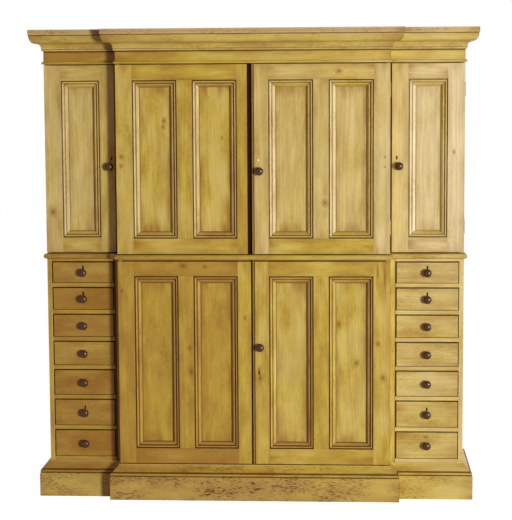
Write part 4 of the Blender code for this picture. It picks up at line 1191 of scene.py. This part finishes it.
class BuildHinges(bpy.types.Operator):
    """Builds the twelve butt hinges: a pin with knuckles, and a leaf let into the carcase"""

    bl_idname = "cupboard.hinges"
    bl_label = "Hinges"

    def execute(self, context):
        groove, depth = KNUCKLE_GROOVE
        radii = np.tile(HINGE_RADIUS - depth * np.array([1, 0, 0, 1]), KNUCKLES)
        for stage, (side, word), number in product(("wing", "upper", "lower"), SIDES, (1, 2)):
            node = f"hinge_{stage}_{word}_{number}"
            low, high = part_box(node)
            half = (high.z - low.z) / 2
            cuts = np.linspace(-half, half, KNUCKLES + 1)
            steps = np.stack([cuts[:-1], cuts[:-1] + groove, cuts[1:] - groove, cuts[1:]], -1)
            pin = turned(np.stack([radii, steps.ravel()], -1), (0, 0, 0), HINGE_SIDES)
            x = side * (SIDE_X if stage == "wing" else CENTRE_X)
            y = low.y + HINGE_RADIUS
            across, along, through = pin.points.T
            pin = pin._replace(points=np.stack([x + across, y + through, (low.z + high.z) / 2 - along], -1))
            leaf = ((x, y, low.z + FIT), (x - side * HINGE_LEAF, high.y, high.z - FIT))
            timbers = [pin, board(*leaf, 2, FIT)]
            piece(f"{node}_knuckles", "case", timbers, aged_brass(), [node])
        return {"FINISHED"}


def seen_share(put):
    """One for rays from the camera, a reflection or glass, and nothing for those that only light the cabinet."""
    path = put("LightPath").node.outputs
    seen = put("Math", (path["Is Camera Ray"], path["Is Glossy Ray"]), operation="MAXIMUM")
    return put("Math", (seen, path["Is Transmission Ray"]), operation="MAXIMUM")


class SetStage(bpy.types.Operator):
    """Sets the floor, the soft studio light and the camera at the photograph's angle"""

    bl_idname = "cupboard.stage"
    bl_label = "Stage"

    def execute(self, context):
        scene = context.scene
        scene.view_settings.view_transform = "Standard"
        x, y = np.meshgrid((-FLOOR_REACH, FLOOR_REACH), (-FLOOR_REACH, FLOOR_REACH))
        points = np.stack([x, y, np.full_like(x, -FLOOR_DROP)], -1).reshape(-1, 3)
        mesh = bpy.data.meshes.new("floor")
        mesh.from_pydata(points.tolist(), [], [(0, 1, 3, 2)])
        floor = bpy.data.objects.new("floor", mesh)
        scene.collection.objects.link(floor)

        paint, put, _ = blank_material("Pale studio floor")
        paint.node_tree.nodes.clear()
        matt = put("BsdfDiffuse", {"Color": (*linear(FLOOR_COLOUR), 1)})
        glow = put("Emission", {"Strength": put("Math", (seen_share(put), FLOOR_GLOW), operation="MULTIPLY")})
        put("OutputMaterial", {"Surface": put("AddShader", (matt, glow))})
        mesh.materials.append(paint)

        world = bpy.data.worlds.new("Studio")
        scene.world = world
        world.use_nodes = True
        world.node_tree.nodes.clear()
        put = partial(add, world.node_tree)
        fill = put("Background", {"Color": (*linear(FILL_COLOUR), 1), "Strength": FILL})
        white = put("Background", {"Color": (1, 1, 1, 1), "Strength": 1.0})
        put("OutputWorld", {"Surface": put("MixShader", (seen_share(put), fill, white))})

        for word, size, power, place in LIGHTS:
            light = bpy.data.lights.new(word, "AREA")
            light.shape = "DISK"
            light.size = size
            light.energy = power
            lamp = bpy.data.objects.new(word, light)
            lamp.location = place
            lamp.rotation_euler = (LIGHT_AIM - lamp.location).to_track_quat("-Z", "Y").to_euler()
            lamp.visible_camera = False
            scene.collection.objects.link(lamp)

        lens = bpy.data.cameras.new("camera")
        lens.lens = CAMERA_LENS
        lens.clip_end = VIEW_END
        camera = bpy.data.objects.new("camera", lens)
        pan, tilt, roll = [Euler(angles).to_matrix() for angles in CAMERA_TURNS]
        turn = pan @ tilt @ roll @ Euler((pi / 2, 0, 0)).to_matrix()
        camera.matrix_world = Matrix.Translation(CAMERA_PLACE) @ turn.to_4x4()
        scene.collection.objects.link(camera)
        scene.camera = camera
        return {"FINISHED"}


class CupboardPanel(bpy.types.Panel):
    """Lists the operators that dress the cupboard"""

    bl_idname = "VIEW3D_PT_cupboard"
    bl_label = "Breakfront cupboard"
    bl_space_type = "VIEW_3D"
    bl_region_type = "UI"
    bl_category = "Cupboard"

    def draw(self, context):
        for maker in OPERATORS:
            self.layout.operator(maker.bl_idname)
        for group in (context.scene.cupboard_sizes, context.scene.cupboard_colours):
            for word in group.bl_rna.properties.keys():
                if word not in ("rna_type", "name"):
                    self.layout.prop(group, word)


OPERATORS = (
    BuildPlinth, BuildWaist, BuildCornice, BuildCarcases, BuildDoors, BuildDrawers, BuildKnobs, BuildHinges,
    SetStage,
)
CLASSES = (CupboardSizes, CupboardColours, *OPERATORS, CupboardPanel)


def register():
    """Registers the classes and hangs the sizes and colours on the scene."""
    for kind in CLASSES:
        bpy.utils.register_class(kind)
    bpy.types.Scene.cupboard_sizes = bpy.props.PointerProperty(type=CupboardSizes)
    bpy.types.Scene.cupboard_colours = bpy.props.PointerProperty(type=CupboardColours)


def unregister():
    """Takes the sizes, the colours and the classes away again."""
    del bpy.types.Scene.cupboard_colours
    del bpy.types.Scene.cupboard_sizes
    for kind in reversed(CLASSES):
        bpy.utils.unregister_class(kind)


def main():
    """Dresses the cupboard."""
    register()
    bpy.ops.cupboard.plinth()
    bpy.ops.cupboard.waist()
    bpy.ops.cupboard.cornice()
    bpy.ops.cupboard.carcases()
    bpy.ops.cupboard.doors()
    bpy.ops.cupboard.drawers()
    bpy.ops.cupboard.knobs()
    bpy.ops.cupboard.hinges()
    bpy.ops.cupboard.stage()


if __name__ == "__main__":
    main()
